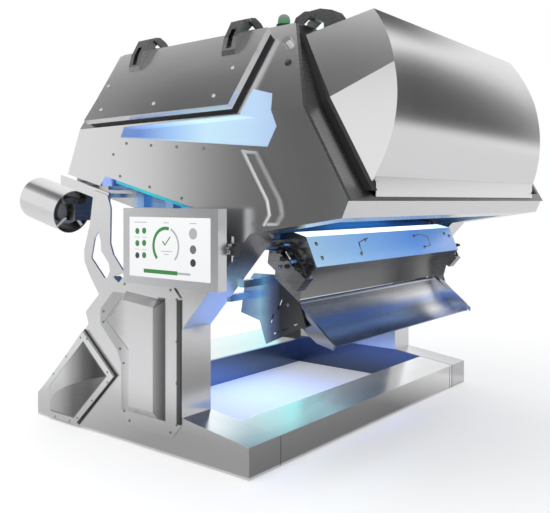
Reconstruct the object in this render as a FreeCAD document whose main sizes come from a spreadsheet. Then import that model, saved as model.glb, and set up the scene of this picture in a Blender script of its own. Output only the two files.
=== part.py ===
import FreeCAD, Part
import math
import os
import Sketcher

# Optical colour sorter: a tilted belt carries food between two hollow columns, past cameras in the
# upper housing, over an air ejector bar and a lit background box, and down a swinging chute.
# The frame: X runs with the product, Y across the belt, Z up, all in millimetres. The origin is on
# the floor under the middle of the front base beam. "near" is the side with the operator screen (-Y).

doc = FreeCAD.newDocument("optical_colour_sorter")
sheet = doc.addObject("Spreadsheet::Sheet", "Sizes")

SIZES = {
    # base ring
    "base_width": (2368, "overall width across the belt"),
    "front_beam_width": (240, "front beam, along the flow"),
    "front_beam_height": (154, "front face of the base"),
    "base_rise": (55, "how much the base side climbs from the front to the column"),
    "front_beam_lean": (30, "rise of the front beam's top towards the rear"),
    "side_beam_width": (208, "side beams and columns, across the belt"),
    "base_rear": (-1583, "rear end of the base"),
    "rear_beam_width": (377, "rear beam, along the flow"),
    "rear_beam_height": (180, "rear beam's front edge"),
    "rear_beam_lean": (62, "rise of the rear beam's top towards the rear"),
    "rear_end_height": (133, "height of the base's rear face"),
    "plate": (6, "plate of the beams and columns"),
    # side frames
    "column_front": (-325, "column's front face"),
    "column_knee": (654, "height where the column flares forward"),
    "flare_x": (125, "end of the flare"),
    "flare_z": (1147, "height of the flare's end"),
    "chin_low_x": (633, "lower front corner of the housing"),
    "chin_low_z": (1227, "height of that corner"),
    "chin_top_x": (666, "foot of the inclined seam"),
    "chin_top_z": (1300, "height of the seam's foot"),
    "crease_z": (1711, "height where the sides lean inwards"),
    "seam_angle": (29.65, "seam plane, degrees from vertical"),
    "housing_rear": (-1163, "rear of the housing at the crease"),
    "visor_x": (-1278, "rear lower corner of the side"),
    "visor_z": (1456, "height of that corner"),
    "slot_rear_x": (-980, "rear end of the belt slot's sill"),
    "slot_sill_z": (1385, "height of the sill"),
    "slot_top_x": (-932, "rear end of the belt slot's top edge"),
    "slot_top_z": (1437, "height of the slot's top edge there"),
    "slot_front_x": (-244, "front end of the belt slot"),
    "slot_front_z": (1267, "height of the slot's top at its front"),
    "slot_low_x": (-290, "front lower corner of the belt slot"),
    "slot_low_z": (1085, "height of that corner"),
    "shoulder_x": (-790, "top rear corner of the column"),
    "shoulder_z": (880, "height of that corner"),
    "heel_x": (-1496, "where the column's sloped rear edge meets the base"),
    # upper housing
    "housing_top": (2176, "roof height"),
    "roof_lean": (32.4, "lean of the upper sides, degrees"),
    "skin": (6, "sheet of the housing"),
    "deck_z": (1590, "floor of the upper housing"),
    "deck_front": (-90, "front edge of that floor"),
    # lit window in each side
    "window_depth": (120, "depth of the lit channel"),
    # hood
    "gasket": (45, "seal between the housing and the hood"),
    "gasket_width": (46, "width of that seal"),
    "gasket_inset": (146, "seal's outer edge from the side"),
    "frame_plate": (14, "frame round the hood's opening"),
    "frame_width": (250, "width of that frame"),
    "hood_inset": (182, "hood's side from the housing's side"),
    "hood_low_z": (1375, "foot of the curved sheet"),
    "hood_lip_z": (1319, "bottom of the hood's lip"),
    "hood_curve": (740, "radius of the curved sheet"),
    "hood_centre_x": (8, "axis of the curved sheet"),
    "hood_centre_z": (1722, "height of that axis"),
    "hood_top_drop": (83, "rear edge of the hood's flat top under the roof"),
    "hood_top_rise": (16.6, "slope of that top, degrees"),
    "hood_taper": (18.4, "taper of the hood's ends, degrees"),
    "hood_shoulder": (1752, "height where the hood's ends lean in"),
    "hood_lean": (9.7, "lean of the ends above that, degrees"),
    "hood_wall": (5, "sheet of the hood"),
    "hood_pin_x": (192, "hood hinge axis"),
    "hood_pin_rise": (46, "hood hinge axis over the roof"),
    "hood_strap_offset": (770, "hood straps from the middle"),
    # roof doors
    "door_rear": (-1071, "rear end of the roof doors' lower edge"),
    "door_front": (24, "front end of that edge"),
    "door_shift": (32, "how much further forward the door's upper edge lies"),
    "door_low": (12, "door's lower edge, up the slope from the crease"),
    "door_top_gap": (59, "door's upper edge from the roof's edge, on the slope"),
    "door_seal": (22, "seal under the door"),
    "door_thick": (34, "depth of the door pan"),
    "door_sheet": (4, "sheet of the door pan"),
    "door_seal_width": (40, "width of the door seal"),
    "door_pin_past": (15, "door hinge axis past the roof's edge, on the slope"),
    "door_pin_out": (48, "door hinge axis, out from the slope"),
    "strap_width": (90, "hinge strap, along its pin"),
    "strap_inset": (190, "hinge strap from the door's end"),
    "pin_radius": (9, "hinge pins"),
    "pin_clearance": (0.05, "radial clearance round a hinge pin"),
    "knuckle": (20, "radius of a hinge knuckle"),
    # conveyor
    "belt_slope": (13.7, "belt's descent, degrees"),
    "belt_datum": (1150, "height of the belt's top over X = 0"),
    "belt_gap": (44, "belt's edge from the conveyor rail"),
    "belt_thick": (4, "belt"),
    "pulley_radius": (56, "both pulleys"),
    "shaft_radius": (16, "pulley shafts"),
    "drum_wall": (6, "tube of the pulleys"),
    "pulley_front": (-70, "front pulley's axis"),
    "pulley_rear": (-1400, "rear pulley's axis"),
    "rail_room": (30, "conveyor rail from the column"),
    "rail_plate": (12, "conveyor rail"),
    "rail_height": (118, "conveyor rail"),
    "rail_below": (8, "rail's top edge under the belt's top"),
    "side_rail_inset": (30, "outer rail from the housing's side"),
    # operator screen
    "screen_width": (668, "operator screen"),
    "screen_height": (384, "operator screen"),
    "screen_depth": (58, "operator screen"),
    "screen_front_x": (38, "screen's front end"),
    "screen_mid_z": (1072, "screen's middle height"),
    "screen_gap": (64, "screen's back from the side frame"),
    "screen_pin_out": (34, "tilt axis from the side frame"),
    "knob_radius": (30, "star knob"),
    # covers
    "cover_plate": (8, "flange of a column cover"),
    "cover_depth": (34, "how far the cover's tray stands out"),
    "cover_bevel": (51, "bevel round the tray, degrees from its depth"),
    "cover_wall": (5, "sheet of the tray"),
    "guard_depth": (22, "how far the foot guard stands out"),
    "guard_floor": (5, "floor of the foot guard's pocket"),
    # under the hood
    "box_front_x": (178, "top front edge of the background box"),
    "box_front_z": (1121, "height of that edge"),
    "chute_x": (76, "chute's rear edge"),
    "chute_z": (771, "height of the chute's rear edge"),
    "chute_lip_x": (312, "chute's front lip"),
    "chute_lip_z": (580, "height of the lip"),
    "chute_gap": (22, "chute's end from the end plate"),
    "chute_sheet": (4, "sheet of the chute"),
    "chute_curve": (330, "radius of the chute"),
    "cheek_room": (164, "end plate's inner face from the column"),
    "cheek_plate": (8, "end plates beside the chute"),
    "running_gap": (0.3, "gap between pieces that only lie together"),
}


class Size:
    """A length or angle with its value now and the expression that keeps it tied to the sheet."""

    def __init__(self, value, text):
        self.value = value
        self.text = text

    def __add__(self, other):
        return Size(self.value + number(other), f"({self.text} + {words(other)})")

    def __radd__(self, other):
        return Size(number(other) + self.value, f"({words(other)} + {self.text})")

    def __sub__(self, other):
        return Size(self.value - number(other), f"({self.text} - {words(other)})")

    def __rsub__(self, other):
        return Size(number(other) - self.value, f"({words(other)} - {self.text})")

    def __mul__(self, other):
        return Size(self.value * number(other), f"({self.text} * {words(other)})")

    __rmul__ = __mul__

    def __truediv__(self, other):
        return Size(self.value / number(other), f"({self.text} / {words(other)})")

    def __rtruediv__(self, other):
        return Size(number(other) / self.value, f"({words(other)} / {self.text})")

    def __neg__(self):
        return Size(-self.value, f"(0 - {self.text})")


def number(thing):
    return thing.value if isinstance(thing, Size) else thing


def words(thing):
    return thing.text if isinstance(thing, Size) else f"({thing})"


def tangent(angle):
    return Size(math.tan(math.radians(angle.value)), f"tan({angle.text})")


def cosine(angle):
    return Size(math.cos(math.radians(angle.value)), f"cos({angle.text})")


def sine(angle):
    return Size(math.sin(math.radians(angle.value)), f"sin({angle.text})")


class Named:
    """The sizes by name, such as at.base_width."""


at = Named()
for row, (alias, (value, meaning)) in enumerate(SIZES.items(), start=1):
    sheet.set(f"A{row}", alias)
    sheet.set(f"B{row}", str(value))
    sheet.setAlias(f"B{row}", alias)
    sheet.set(f"C{row}", meaning)
    setattr(at, alias, Size(value, f"Sizes.{alias}"))
doc.recompute()

nodes = {}

# local x, y and z of a sketch become these axes of the machine
TURNS = {
    "XY": FreeCAD.Rotation(),
    "XZ": FreeCAD.Rotation(FreeCAD.Vector(1, 0, 0), 90),
    "YZ": FreeCAD.Rotation(FreeCAD.Vector(1, 1, 1), 120),
}
# how far a solid must move for its sketch to lie at a given depth, along which axis and way
DEPTHS = {"XY": ("z", 1), "XZ": ("y", -1), "YZ": ("x", 1)}


def keep(node, thing):
    """Names a finished sub-part: its label names its file."""
    thing.Label = node
    nodes[node] = thing
    return thing


def bind(thing, prop, size):
    """Ties a property to the sheet, or sets it where it is a plain number."""
    if isinstance(size, Size):
        thing.setExpression(prop, size.text)
    else:
        setattr(thing, prop, size)


def place(thing, x=0, y=0, z=0, turn=None):
    """Puts a thing at a point that follows the sheet."""
    start = FreeCAD.Vector(number(x), number(y), number(z))
    thing.Placement = FreeCAD.Placement(start, turn or thing.Placement.Rotation)
    for axis, size in (("x", x), ("y", y), ("z", z)):
        if isinstance(size, Size):
            thing.setExpression(f"Placement.Base.{axis}", size.text)
    return thing


def arc_centre(start, end, radius):
    """Centre of the arc from start to end: on the left for a positive radius, else on the right."""
    dx, dy = end[0] - start[0], end[1] - start[1]
    chord = math.hypot(dx, dy)
    reach = math.sqrt(max(radius * radius - chord * chord / 4, 0)) * (1 if radius > 0 else -1)
    return (start[0] + end[0]) / 2 - dy / chord * reach, (start[1] + end[1]) / 2 + dx / chord * reach


def draw(sketch, points):
    """Draws a closed outline. A point is (x, y), or (x, y, radius) where an arc leads to the next."""
    spots = [(number(p[0]), number(p[1])) for p in points]
    ends = []
    for i, point in enumerate(points):
        a, b = spots[i], spots[(i + 1) % len(points)]
        if len(point) == 3:
            radius = number(point[2])
            cx, cy = arc_centre(a, b, radius)
            first = math.atan2(a[1] - cy, a[0] - cx)
            last = math.atan2(b[1] - cy, b[0] - cx)
            if radius < 0:
                first, last = last, first
            if last < first:
                last += 2 * math.pi
            circle = Part.Circle(FreeCAD.Vector(cx, cy, 0), FreeCAD.Vector(0, 0, 1), abs(radius))
            sketch.addGeometry(Part.ArcOfCircle(circle, first, last))
            ends.append((1, 2) if radius > 0 else (2, 1))
        else:
            line = Part.LineSegment(FreeCAD.Vector(*a, 0), FreeCAD.Vector(*b, 0))
            sketch.addGeometry(line)
            ends.append((1, 2))
    for i in range(len(points)):
        j = (i + 1) % len(points)
        sketch.addConstraint(Sketcher.Constraint("Coincident", i, ends[i][1], j, ends[j][0]))
    for i, point in enumerate(points):
        for kind, size in (("DistanceX", point[0]), ("DistanceY", point[1])):
            number_of = sketch.addConstraint(Sketcher.Constraint(kind, i, ends[i][0], number(size)))
            if isinstance(size, Size):
                sketch.setExpression(f"Constraints[{number_of}]", size.text)
        if len(point) == 3:
            number_of = sketch.addConstraint(Sketcher.Constraint("Radius", i, abs(number(point[2]))))
            if isinstance(point[2], Size):
                way = point[2] if point[2].value > 0 else -point[2]
                sketch.setExpression(f"Constraints[{number_of}]", way.text)


def plate(name, plane, points, low, high, taper=None):
    """A body: the outline in a plane of the machine, padded from low to high across that plane."""
    body = doc.addObject("PartDesign::Body", name)
    sketch = body.newObject("Sketcher::SketchObject", name + "_outline")
    for feature in body.Origin.OriginFeatures:
        if feature.Role == "XY_Plane":
            sketch.AttachmentSupport = [(feature, "")]
    sketch.MapMode = "FlatFace"
    draw(sketch, points)
    pad = body.newObject("PartDesign::Pad", name + "_pad")
    pad.Profile = sketch
    length = high - low
    bind(pad, "Length", length)
    if taper is not None:
        bind(pad, "TaperAngle", taper)
    body.Tip = pad
    axis, way = DEPTHS[plane]
    body.Placement = FreeCAD.Placement(FreeCAD.Vector(), TURNS[plane])
    place(body, **{axis: low if way > 0 else high})
    body.Label = name
    return body


def box(name, x, y, z):
    """A block between two corners, each given as (low, high)."""
    block = doc.addObject("Part::Box", name)
    bind(block, "Length", x[1] - x[0])
    bind(block, "Width", y[1] - y[0])
    bind(block, "Height", z[1] - z[0])
    place(block, x[0], y[0], z[0])
    return block


AXES = {
    "X": FreeCAD.Rotation(FreeCAD.Vector(0, 1, 0), 90),
    "Y": FreeCAD.Rotation(FreeCAD.Vector(1, 0, 0), -90),
    "Z": FreeCAD.Rotation(),
}


def rod(name, axis, radius, start, length):
    """A cylinder from a start point along an axis of the machine."""
    cylinder = doc.addObject("Part::Cylinder", name)
    bind(cylinder, "Radius", radius)
    bind(cylinder, "Height", length)
    place(cylinder, *start, turn=AXES[axis])
    return cylinder


def cut(name, base, tool):
    piece = doc.addObject("Part::Cut", name)
    piece.Base = base
    piece.Tool = tool
    return piece


def fuse(name, *shapes):
    if len(shapes) == 1:
        return shapes[0]
    piece = doc.addObject("Part::MultiFuse", name)
    piece.Shapes = list(shapes)
    return piece


def common(name, *shapes):
    piece = doc.addObject("Part::MultiCommon", name)
    piece.Shapes = list(shapes)
    return piece


def group(name, *shapes):
    """Several separate solids in one sub-part."""
    piece = doc.addObject("Part::Compound", name)
    piece.Links = list(shapes)
    return piece


def mirror(name, thing):
    """The same piece on the far side."""
    piece = doc.addObject("Part::Mirroring", name)
    piece.Source = thing
    piece.Normal = FreeCAD.Vector(0, 1, 0)
    return piece


def both_sides(node, thing):
    """Keeps a near piece and its mirror image on the far side."""
    keep("near_" + node, thing)
    keep("far_" + node, mirror("far_" + node, thing))


def pair(node, thing):
    """Keeps a near piece and its mirror image as one sub-part."""
    keep(node, group(node, thing, mirror("far_" + node, thing)))


def hollow(name, points, low, high, wall):
    """A closed sheet box with the outline in XZ: a prism less the same prism one wall inside."""
    outer = plate(name + "_outside", "XZ", points, low, high)
    core = doc.addObject("Part::Offset2D", name + "_core")
    core.Source = outer.Tip.Profile[0]
    bind(core, "Value", -wall)
    inner = doc.addObject("Part::Extrusion", name + "_inside")
    inner.Base = core
    inner.DirMode = "Custom"
    inner.Dir = FreeCAD.Vector(0, 0, 1)
    bind(inner, "LengthFwd", high - low - wall * 2)
    inner.Solid = True
    place(inner, 0, high - wall, 0, turn=TURNS["XZ"])
    return cut(name, outer, inner)


half = at.base_width / 2
near = -half
seam_run = tangent(at.seam_angle)
lean = tangent(at.roof_lean)
beam_front = at.front_beam_width / 2
beam_rear = -beam_front
inner_half = half - at.side_beam_width
column_foot = at.front_beam_height + at.base_rise
# sizes that follow from the ones above
slope_length = (at.housing_top - at.crease_z) / cosine(at.roof_lean)
at.hood_top_z = at.housing_top - at.hood_top_drop
at.hood_pin_z = at.housing_top + at.hood_pin_rise
at.door_high = slope_length - at.door_top_gap
at.door_pin_slope = slope_length + at.door_pin_past
at.rail_offset = inner_half - at.rail_room - at.rail_plate
at.belt_width = (at.rail_offset - at.belt_gap) * 2
at.cheek_offset = inner_half - at.cheek_room
at.chute_half = at.cheek_offset - at.chute_gap


def seam_x(z):
    """X on the seam plane at a height."""
    return at.chin_top_x - (z - at.chin_top_z) * seam_run


def belt_z(x):
    """Height of the belt's top face over X."""
    return at.belt_datum - x * tangent(at.belt_slope)


# base ring
def base():
    front = plate(
        "front_beam_outside", "XZ",
        [(beam_front, 0), (beam_front, at.front_beam_height),
         (beam_rear, at.front_beam_height + at.front_beam_lean), (beam_rear, 0)],
        -inner_half, inner_half)
    wall = at.plate
    hole = plate(
        "front_beam_inside", "XZ",
        [(beam_front - wall, wall), (beam_front - wall, at.front_beam_height - wall),
         (beam_rear + wall, at.front_beam_height + at.front_beam_lean - wall * 2),
         (beam_rear + wall, wall)],
        -inner_half, inner_half)
    keep("front_beam", cut("front_beam", front, hole))
    rear_front = at.base_rear + at.rear_beam_width
    top = at.rear_beam_height + at.rear_beam_lean
    outside = plate(
        "rear_beam_outside", "XZ",
        [(rear_front, 0), (rear_front, at.rear_beam_height), (at.base_rear + 60, top),
         (at.base_rear, top - 40), (at.base_rear, 0)],
        -inner_half, inner_half)
    inside = plate(
        "rear_beam_inside", "XZ",
        [(rear_front - wall, wall), (rear_front - wall, at.rear_beam_height - wall),
         (at.base_rear + 60, top - wall * 1.2), (at.base_rear + wall, top - 40 - wall),
         (at.base_rear + wall, wall)],
        -inner_half, inner_half)
    keep("rear_beam", cut("rear_beam", outside, inside))
    side = hollow(
        "near_side_beam",
        [(beam_front, 0), (beam_front, at.front_beam_height), (at.column_front, column_foot),
         (at.heel_x, column_foot), (at.base_rear, at.rear_end_height), (at.base_rear, 0)],
        near, -inner_half, wall)
    both_sides("side_beam", side)


# column and upper side in one welded box, with the belt slot and the lit window
WINDOW = [(-802, 1645), (230, 1546), (283, 1637), (251, 1711), (215, 1796), (78, 1833),
          (64, 1706), (-773, 1700)]


def side_frames():
    frame = hollow(
        "side_box",
        [(at.column_front, column_foot), (at.column_front, at.column_knee),
         (at.flare_x, at.flare_z), (at.chin_low_x, at.chin_low_z), (at.chin_top_x, at.chin_top_z),
         (seam_x(at.crease_z), at.crease_z), (at.housing_rear, at.crease_z),
         (at.visor_x, at.visor_z), (at.slot_rear_x, at.slot_sill_z), (at.slot_top_x, at.slot_top_z),
         (at.slot_front_x, at.slot_front_z), (at.slot_low_x, at.slot_low_z),
         (at.shoulder_x, at.shoulder_z), (at.heel_x, column_foot)],
        near, -inner_half, at.plate)
    window_cut = plate("window_cut", "XZ", WINDOW, near - 10, near + at.window_depth)
    opened = cut("near_side_frame", frame, window_cut)
    both_sides("side_frame", opened)
    lining = doc.addObject("Part::Offset2D", "window_core")
    lining.Source = window_cut.Tip.Profile[0]
    lining.Value = -at.skin.value
    lining.setExpression("Value", (-at.skin).text)
    room = doc.addObject("Part::Extrusion", "window_room")
    room.Base = lining
    room.DirMode = "Custom"
    room.Dir = FreeCAD.Vector(0, 0, 1)
    room.Solid = True
    bind(room, "LengthFwd", at.window_depth)
    place(room, 0, near + at.window_depth - at.skin, 0, turn=TURNS["XZ"])
    shell = plate("window_shell", "XZ", WINDOW, near + 1, near + at.window_depth)
    sides = box("window_sides", (-900, 400), (near + 1, inner_half), (1400, at.crease_z))
    above = mansard(at.skin * 0 + 1, "window_above", at.housing_rear, at.chin_top_x)
    inside = fuse("window_limits", sides, above)
    pair("window_channels", common("window_channel_trimmed", cut("window_channel", shell, room),
                                   inside))


# roof shell over the crease, cut by the seam plane, with an opening under each door
def mansard(inset, name, low, high):
    """The section of the upper housing, moved in by an inset, from X low to high."""
    rise = at.housing_top - at.crease_z
    side = half - inset / cosine(at.roof_lean)
    top = half - rise * lean - inset * (1 - sine(at.roof_lean)) / cosine(at.roof_lean)
    return plate(
        name, "YZ",
        [(-side, at.crease_z), (side, at.crease_z), (top, at.housing_top - inset),
         (-top, at.housing_top - inset)],
        low, high)


def slope_point(up, out, side=-1):
    """Y and Z of a point on the leaning side: so far up the slope from the crease and out of it."""
    y = half - up * sine(at.roof_lean) + out * cosine(at.roof_lean)
    z = at.crease_z + up * cosine(at.roof_lean) + out * sine(at.roof_lean)
    return (y * side, z)


def slope_block(name, up, out, low, high):
    """A block that lies on the near leaning side, from X low to high."""
    return plate(
        name, "YZ",
        [slope_point(up[0], out[0]), slope_point(up[0], out[1]), slope_point(up[1], out[1]),
         slope_point(up[1], out[0])],
        low, high)


def slope_plate(name, points, low, high):
    """A plate parallel to the near leaning side: points are X and the way up the slope, and low
    and high are measured out of the slope."""
    body = plate(name, "XY", points, low, high)
    turn = FreeCAD.Rotation(FreeCAD.Vector(1, 0, 0), 90 - at.roof_lean.value)
    y, z = slope_point(0, low)
    return place(body, 0, y, z, turn=turn)


def door_outline(inset):
    """The roof door's outline on the slope, moved in on all four edges."""
    low, high = at.door_low + inset, at.door_high - inset
    return [(at.door_rear + inset, low), (at.door_front - inset, low),
            (at.door_front + at.door_shift - inset, high), (at.door_rear + at.door_shift + inset, high)]


def housing():
    front = seam_x(at.crease_z)
    outer = mansard(at.skin * 0, "roof_outside", at.housing_rear, front)
    inner = mansard(at.skin, "roof_inside", at.housing_rear + at.skin, front + 10)
    shell = cut("roof_shell_whole", outer, inner)
    trim = plate(
        "roof_trim", "XZ",
        [(front, at.crease_z - 1), (seam_x(at.housing_top + 40), at.housing_top + 40),
         (front + 300, at.housing_top + 40), (front + 300, at.crease_z - 1)],
        near - 10, half + 10)
    shell = cut("roof_shell_trimmed", shell, trim)
    rim = at.door_seal_width + 15
    opening = slope_plate("door_opening", door_outline(rim), -30, 30)
    far_opening = mirror("far_door_opening", opening)
    shell = cut("roof_shell", shell, fuse("door_openings", opening, far_opening))
    for side, tool in (("near", doc.window_cut), ("far", mirror("far_window_cut", doc.window_cut))):
        shell = cut(f"roof_shell_{side}_window", shell, tool)
    keep("roof_shell", shell)
    fall = (at.crease_z - at.deck_z) / (at.crease_z - at.visor_z)
    visor_end = at.housing_rear - (at.housing_rear - at.visor_x) * fall
    # the sloped visor under the rear wall, between the side frames
    visor = plate(
        "rear_visor", "XZ",
        [(at.housing_rear, at.crease_z), (at.housing_rear + at.skin, at.crease_z),
         (visor_end + at.skin, at.deck_z), (visor_end, at.deck_z)],
        -inner_half, inner_half)
    keep("rear_visor", visor)
    deck = plate(
        "inner_deck", "XZ",
        [(visor_end + at.skin + 4, at.deck_z), (at.deck_front, at.deck_z),
         (at.deck_front, at.deck_z + 70), (at.deck_front - at.skin, at.deck_z + 70),
         (at.deck_front - at.skin, at.deck_z + at.skin),
         (visor_end + at.skin + 4, at.deck_z + at.skin)],
        -inner_half, inner_half)
    keep("inner_deck", deck)
    chin = hollow(
        "front_chin",
        [(at.chin_low_x, at.chin_low_z), (at.chin_top_x, at.chin_top_z),
         (at.chin_top_x - 90, at.chin_top_z + 20), (at.chin_low_x - 150, at.chin_low_z - 24)],
        -inner_half, inner_half, at.plate)
    keep("front_chin", chin)


def seam_slab(name, near_side, far_side, low_z, high_z):
    """A slab parallel to the seam plane, between two offsets along its normal."""
    reach = 1 / cosine(at.seam_angle)
    return plate(
        name, "XZ",
        [(seam_x(low_z) + near_side * reach, low_z), (seam_x(low_z) + far_side * reach, low_z),
         (seam_x(high_z) + far_side * reach, high_z), (seam_x(high_z) + near_side * reach, high_z)],
        near - 20, half + 20)


def opening_outline(inset, low_z, high_z):
    """The hood opening's outline in YZ: upright sides that lean in above the shoulder."""
    side = half - inset
    top = side - (high_z - at.hood_shoulder) * tangent(at.hood_lean) * 1.9
    return [(-side, low_z), (side, low_z), (side, at.hood_shoulder), (top, high_z), (-top, high_z),
            (-side, at.hood_shoulder)]


def seam_parts():
    front = seam_x(at.housing_top)
    whole = mansard(at.skin * 0 + 1, "frame_upper", front - 100, at.chin_top_x + 60)
    lower = box("frame_lower", (front - 100, at.chin_top_x + 60), (near + 1, half - 1),
                (at.chin_top_z, at.crease_z))
    hole = plate(
        "frame_hole", "YZ",
        opening_outline(at.frame_width, at.chin_top_z + 70, at.housing_top - 190),
        front - 200, at.chin_top_x + 100)
    slab = seam_slab("frame_slab", 0, at.frame_plate, at.chin_top_z, at.housing_top - 12)
    ring = cut("frame_ring", fuse("frame_outline", whole, lower), hole)
    keep("seam_frame", common("seam_frame", slab, ring))
    outer = plate(
        "gasket_outer", "YZ",
        opening_outline(at.gasket_inset, at.hood_low_z - 30, at.hood_top_z + 20),
        front - 200, at.chin_top_x + 200)
    inner = plate(
        "gasket_inner", "YZ",
        opening_outline(at.gasket_inset + at.gasket_width, at.hood_low_z + 20,
                        at.hood_top_z - 30),
        front - 200, at.chin_top_x + 200)
    slab = seam_slab("gasket_slab", at.frame_plate, at.gasket, at.hood_low_z - 40,
                     at.hood_top_z + 30)
    whole = common("seal_whole", slab, cut("gasket_ring", outer, inner))
    lip_side = half - at.hood_inset - 10
    lip_room = box("lip_room", (on_curve(at.hood_low_z + 22, at.hood_curve), at.chin_top_x + 200),
                   (-lip_side, lip_side), (at.hood_lip_z - 20, at.hood_low_z + 12))
    keep("hood_seal", cut("hood_seal", whole, lip_room))


# hood: a tapered box cut by the curved sheet and the flat top, then hollowed
def hood_profile(wall):
    """The hood's side view, moved in by a wall. Its back lies on the seal."""
    slope = tangent(at.hood_top_rise)
    reach = 1 / cosine(at.seam_angle)
    back = at.gasket + at.running_gap
    radius = at.hood_curve - wall
    top_z = at.hood_top_z - wall / cosine(at.hood_top_rise)
    top_x = seam_x(at.hood_top_z) + back * reach
    # where the flat top meets the curved sheet
    run = top_x - at.hood_centre_x
    drop = top_z - at.hood_centre_z
    a = slope.value ** 2 + 1
    b = run.value + drop.value * slope.value
    c = run.value ** 2 + drop.value ** 2 - radius.value ** 2
    ahead = (math.sqrt(b * b - a * c) - b) / a
    formula = (f"((sqrt(pow({(run + drop * slope).text}; 2) - (pow({slope.text}; 2) + 1) * "
               f"(pow({run.text}; 2) + pow({drop.text}; 2) - pow({radius.text}; 2))) - "
               f"{(run + drop * slope).text}) / (pow({slope.text}; 2) + 1))")
    ridge = Size(ahead, formula)
    low_z = at.hood_low_z
    foot_x = on_curve(low_z, radius)
    behind = at.gasket * -0.6
    return [(top_x + behind, top_z + behind * slope), (top_x + ridge, top_z + ridge * slope, -radius),
            (foot_x, low_z), (seam_x(low_z) + (back + behind) * reach, low_z)]


def hood_block(name, wall, behind):
    """The hood's tapered form, seen square to the seam, cut to its side view. The form that is
    taken out of it starts behind the hood's back edge."""
    taper = at.hood_taper
    side = half - at.hood_inset - wall / cosine(taper) + behind * tangent(taper)
    tall = (at.hood_shoulder - at.chin_top_z) / cosine(at.seam_angle)
    high = (at.housing_top + 500 - at.chin_top_z) / cosine(at.seam_angle)
    top = side - (high - tall) * tangent(at.hood_lean)
    body = doc.addObject("PartDesign::Body", name + "_taper")
    sketch = body.newObject("Sketcher::SketchObject", name + "_ends")
    for feature in body.Origin.OriginFeatures:
        if feature.Role == "XY_Plane":
            sketch.AttachmentSupport = [(feature, "")]
    sketch.MapMode = "FlatFace"
    draw(sketch, [(-side, -400), (side, -400), (side, tall), (top, high), (-top, high),
                  (-side, tall)])
    pad = body.newObject("PartDesign::Pad", name + "_ends_pad")
    pad.Profile = sketch
    pad.Length = 460
    bind(pad, "TaperAngle", -taper)
    body.Tip = pad
    tilt = FreeCAD.Rotation(FreeCAD.Vector(0, 1, 0), -at.seam_angle.value)
    start = at.gasket + at.running_gap - behind
    place(body, at.chin_top_x + start * cosine(at.seam_angle), 0,
          at.chin_top_z + start * sine(at.seam_angle), turn=tilt.multiply(TURNS["YZ"]))
    side_view = plate(name + "_profile", "XZ", hood_profile(wall), near, half)
    return common(name, body, side_view)


def on_curve(z, radius):
    """X of the hood's curved sheet at a height."""
    fall = at.hood_centre_z - z
    reach = math.sqrt(number(radius) ** 2 - fall.value ** 2)
    return Size(at.hood_centre_x.value + reach,
                f"({at.hood_centre_x.text} + sqrt(pow({words(radius)}; 2) - pow({fall.text}; 2)))")


def hood():
    outer = hood_block("hood_outside", at.hood_wall * 0, at.hood_wall * 0)
    inner = hood_block("hood_inside", at.hood_wall, at.hood_wall * 4)
    keep("hood_cover", cut("hood_cover", outer, inner))
    low, high = at.hood_low_z + 22, at.hood_low_z + 33
    gap = at.running_gap
    back = on_curve(low, at.hood_curve) + gap
    front = on_curve(high, at.hood_curve) + gap
    side = half - at.hood_inset - 20
    lip = plate("hood_lip", "XZ",
                [(back, at.hood_lip_z), (front, at.hood_lip_z), (front, high), (back, low)],
                -side, side)
    keep("hood_lip", lip)


# hinge straps: a gooseneck over the edge, with a bracket on the roof and a pin between
def hood_hinges():
    px, pz = at.hood_pin_x, at.hood_pin_z
    top = hood_profile(at.hood_wall * 0)[0]
    slope = tangent(at.hood_top_rise)

    def on_top(x, up=0):
        return (x, top[1] + (x - top[0]) * slope + up)

    straps, brackets = [], []
    for side, sign in (("near", -1), ("far", 1)):
        middle = at.hood_strap_offset * sign
        low, high = middle - at.strap_width / 2, middle + at.strap_width / 2
        arm = plate(
            side + "_hood_strap_arm", "XZ",
            [on_top(px + 90, 0.3), on_top(px + 200, 0.3), on_top(px + 205, 14),
             (px + 140, pz + 6), (px + 70, pz + 24), (px, pz + at.knuckle),
             (px, pz - at.knuckle), (px + 55, pz - 18), (px + 92, pz - 52)],
            low, high)
        eye = rod(side + "_hood_eye", "Y", at.knuckle, (px, low, pz), at.strap_width)
        bore = rod(side + "_hood_bore", "Y", at.pin_radius + at.pin_clearance,
                   (px, low - 1, pz), at.strap_width + 2)
        window = box(side + "_hood_strap_slot", (px + 40, px + 125),
                     (middle - 18, middle + 18), (pz - 80, pz + 60))
        strap = cut(side + "_hood_strap",
                    cut(side + "_hood_strap_drilled",
                        fuse(side + "_hood_strap_form", arm, eye), bore), window)
        straps.append(strap)
        ear = at.plate * 2
        ears = []
        for k, (y0, y1) in enumerate(((low - ear - 1, low - 1), (high + 1, high + ear + 1))):
            cheek = plate(
                f"{side}_hood_ear_{k}", "XZ",
                [(px - 90, at.housing_top), (px - 32, at.housing_top), (px + 22, pz - 8),
                 (px + 18, pz + 16), (px - 16, pz + 20), (px - 70, pz - 4)],
                y0, y1)
            ears.append(cheek)
        foot = box(side + "_hood_foot", (px - 90, px - 34), (low - ear - 1, high + ear + 1),
                   (at.housing_top, at.housing_top + 8))
        pin = rod(side + "_hood_pin", "Y", at.pin_radius, (px, low - ear - 3, pz),
                  at.strap_width + ear * 2 + 6)
        brackets.append(fuse(side + "_hood_bracket", foot, pin, *ears))
    keep("hood_hinge_straps", group("hood_hinge_straps", *straps))
    keep("hood_hinge_brackets", group("hood_hinge_brackets", *brackets))


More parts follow.
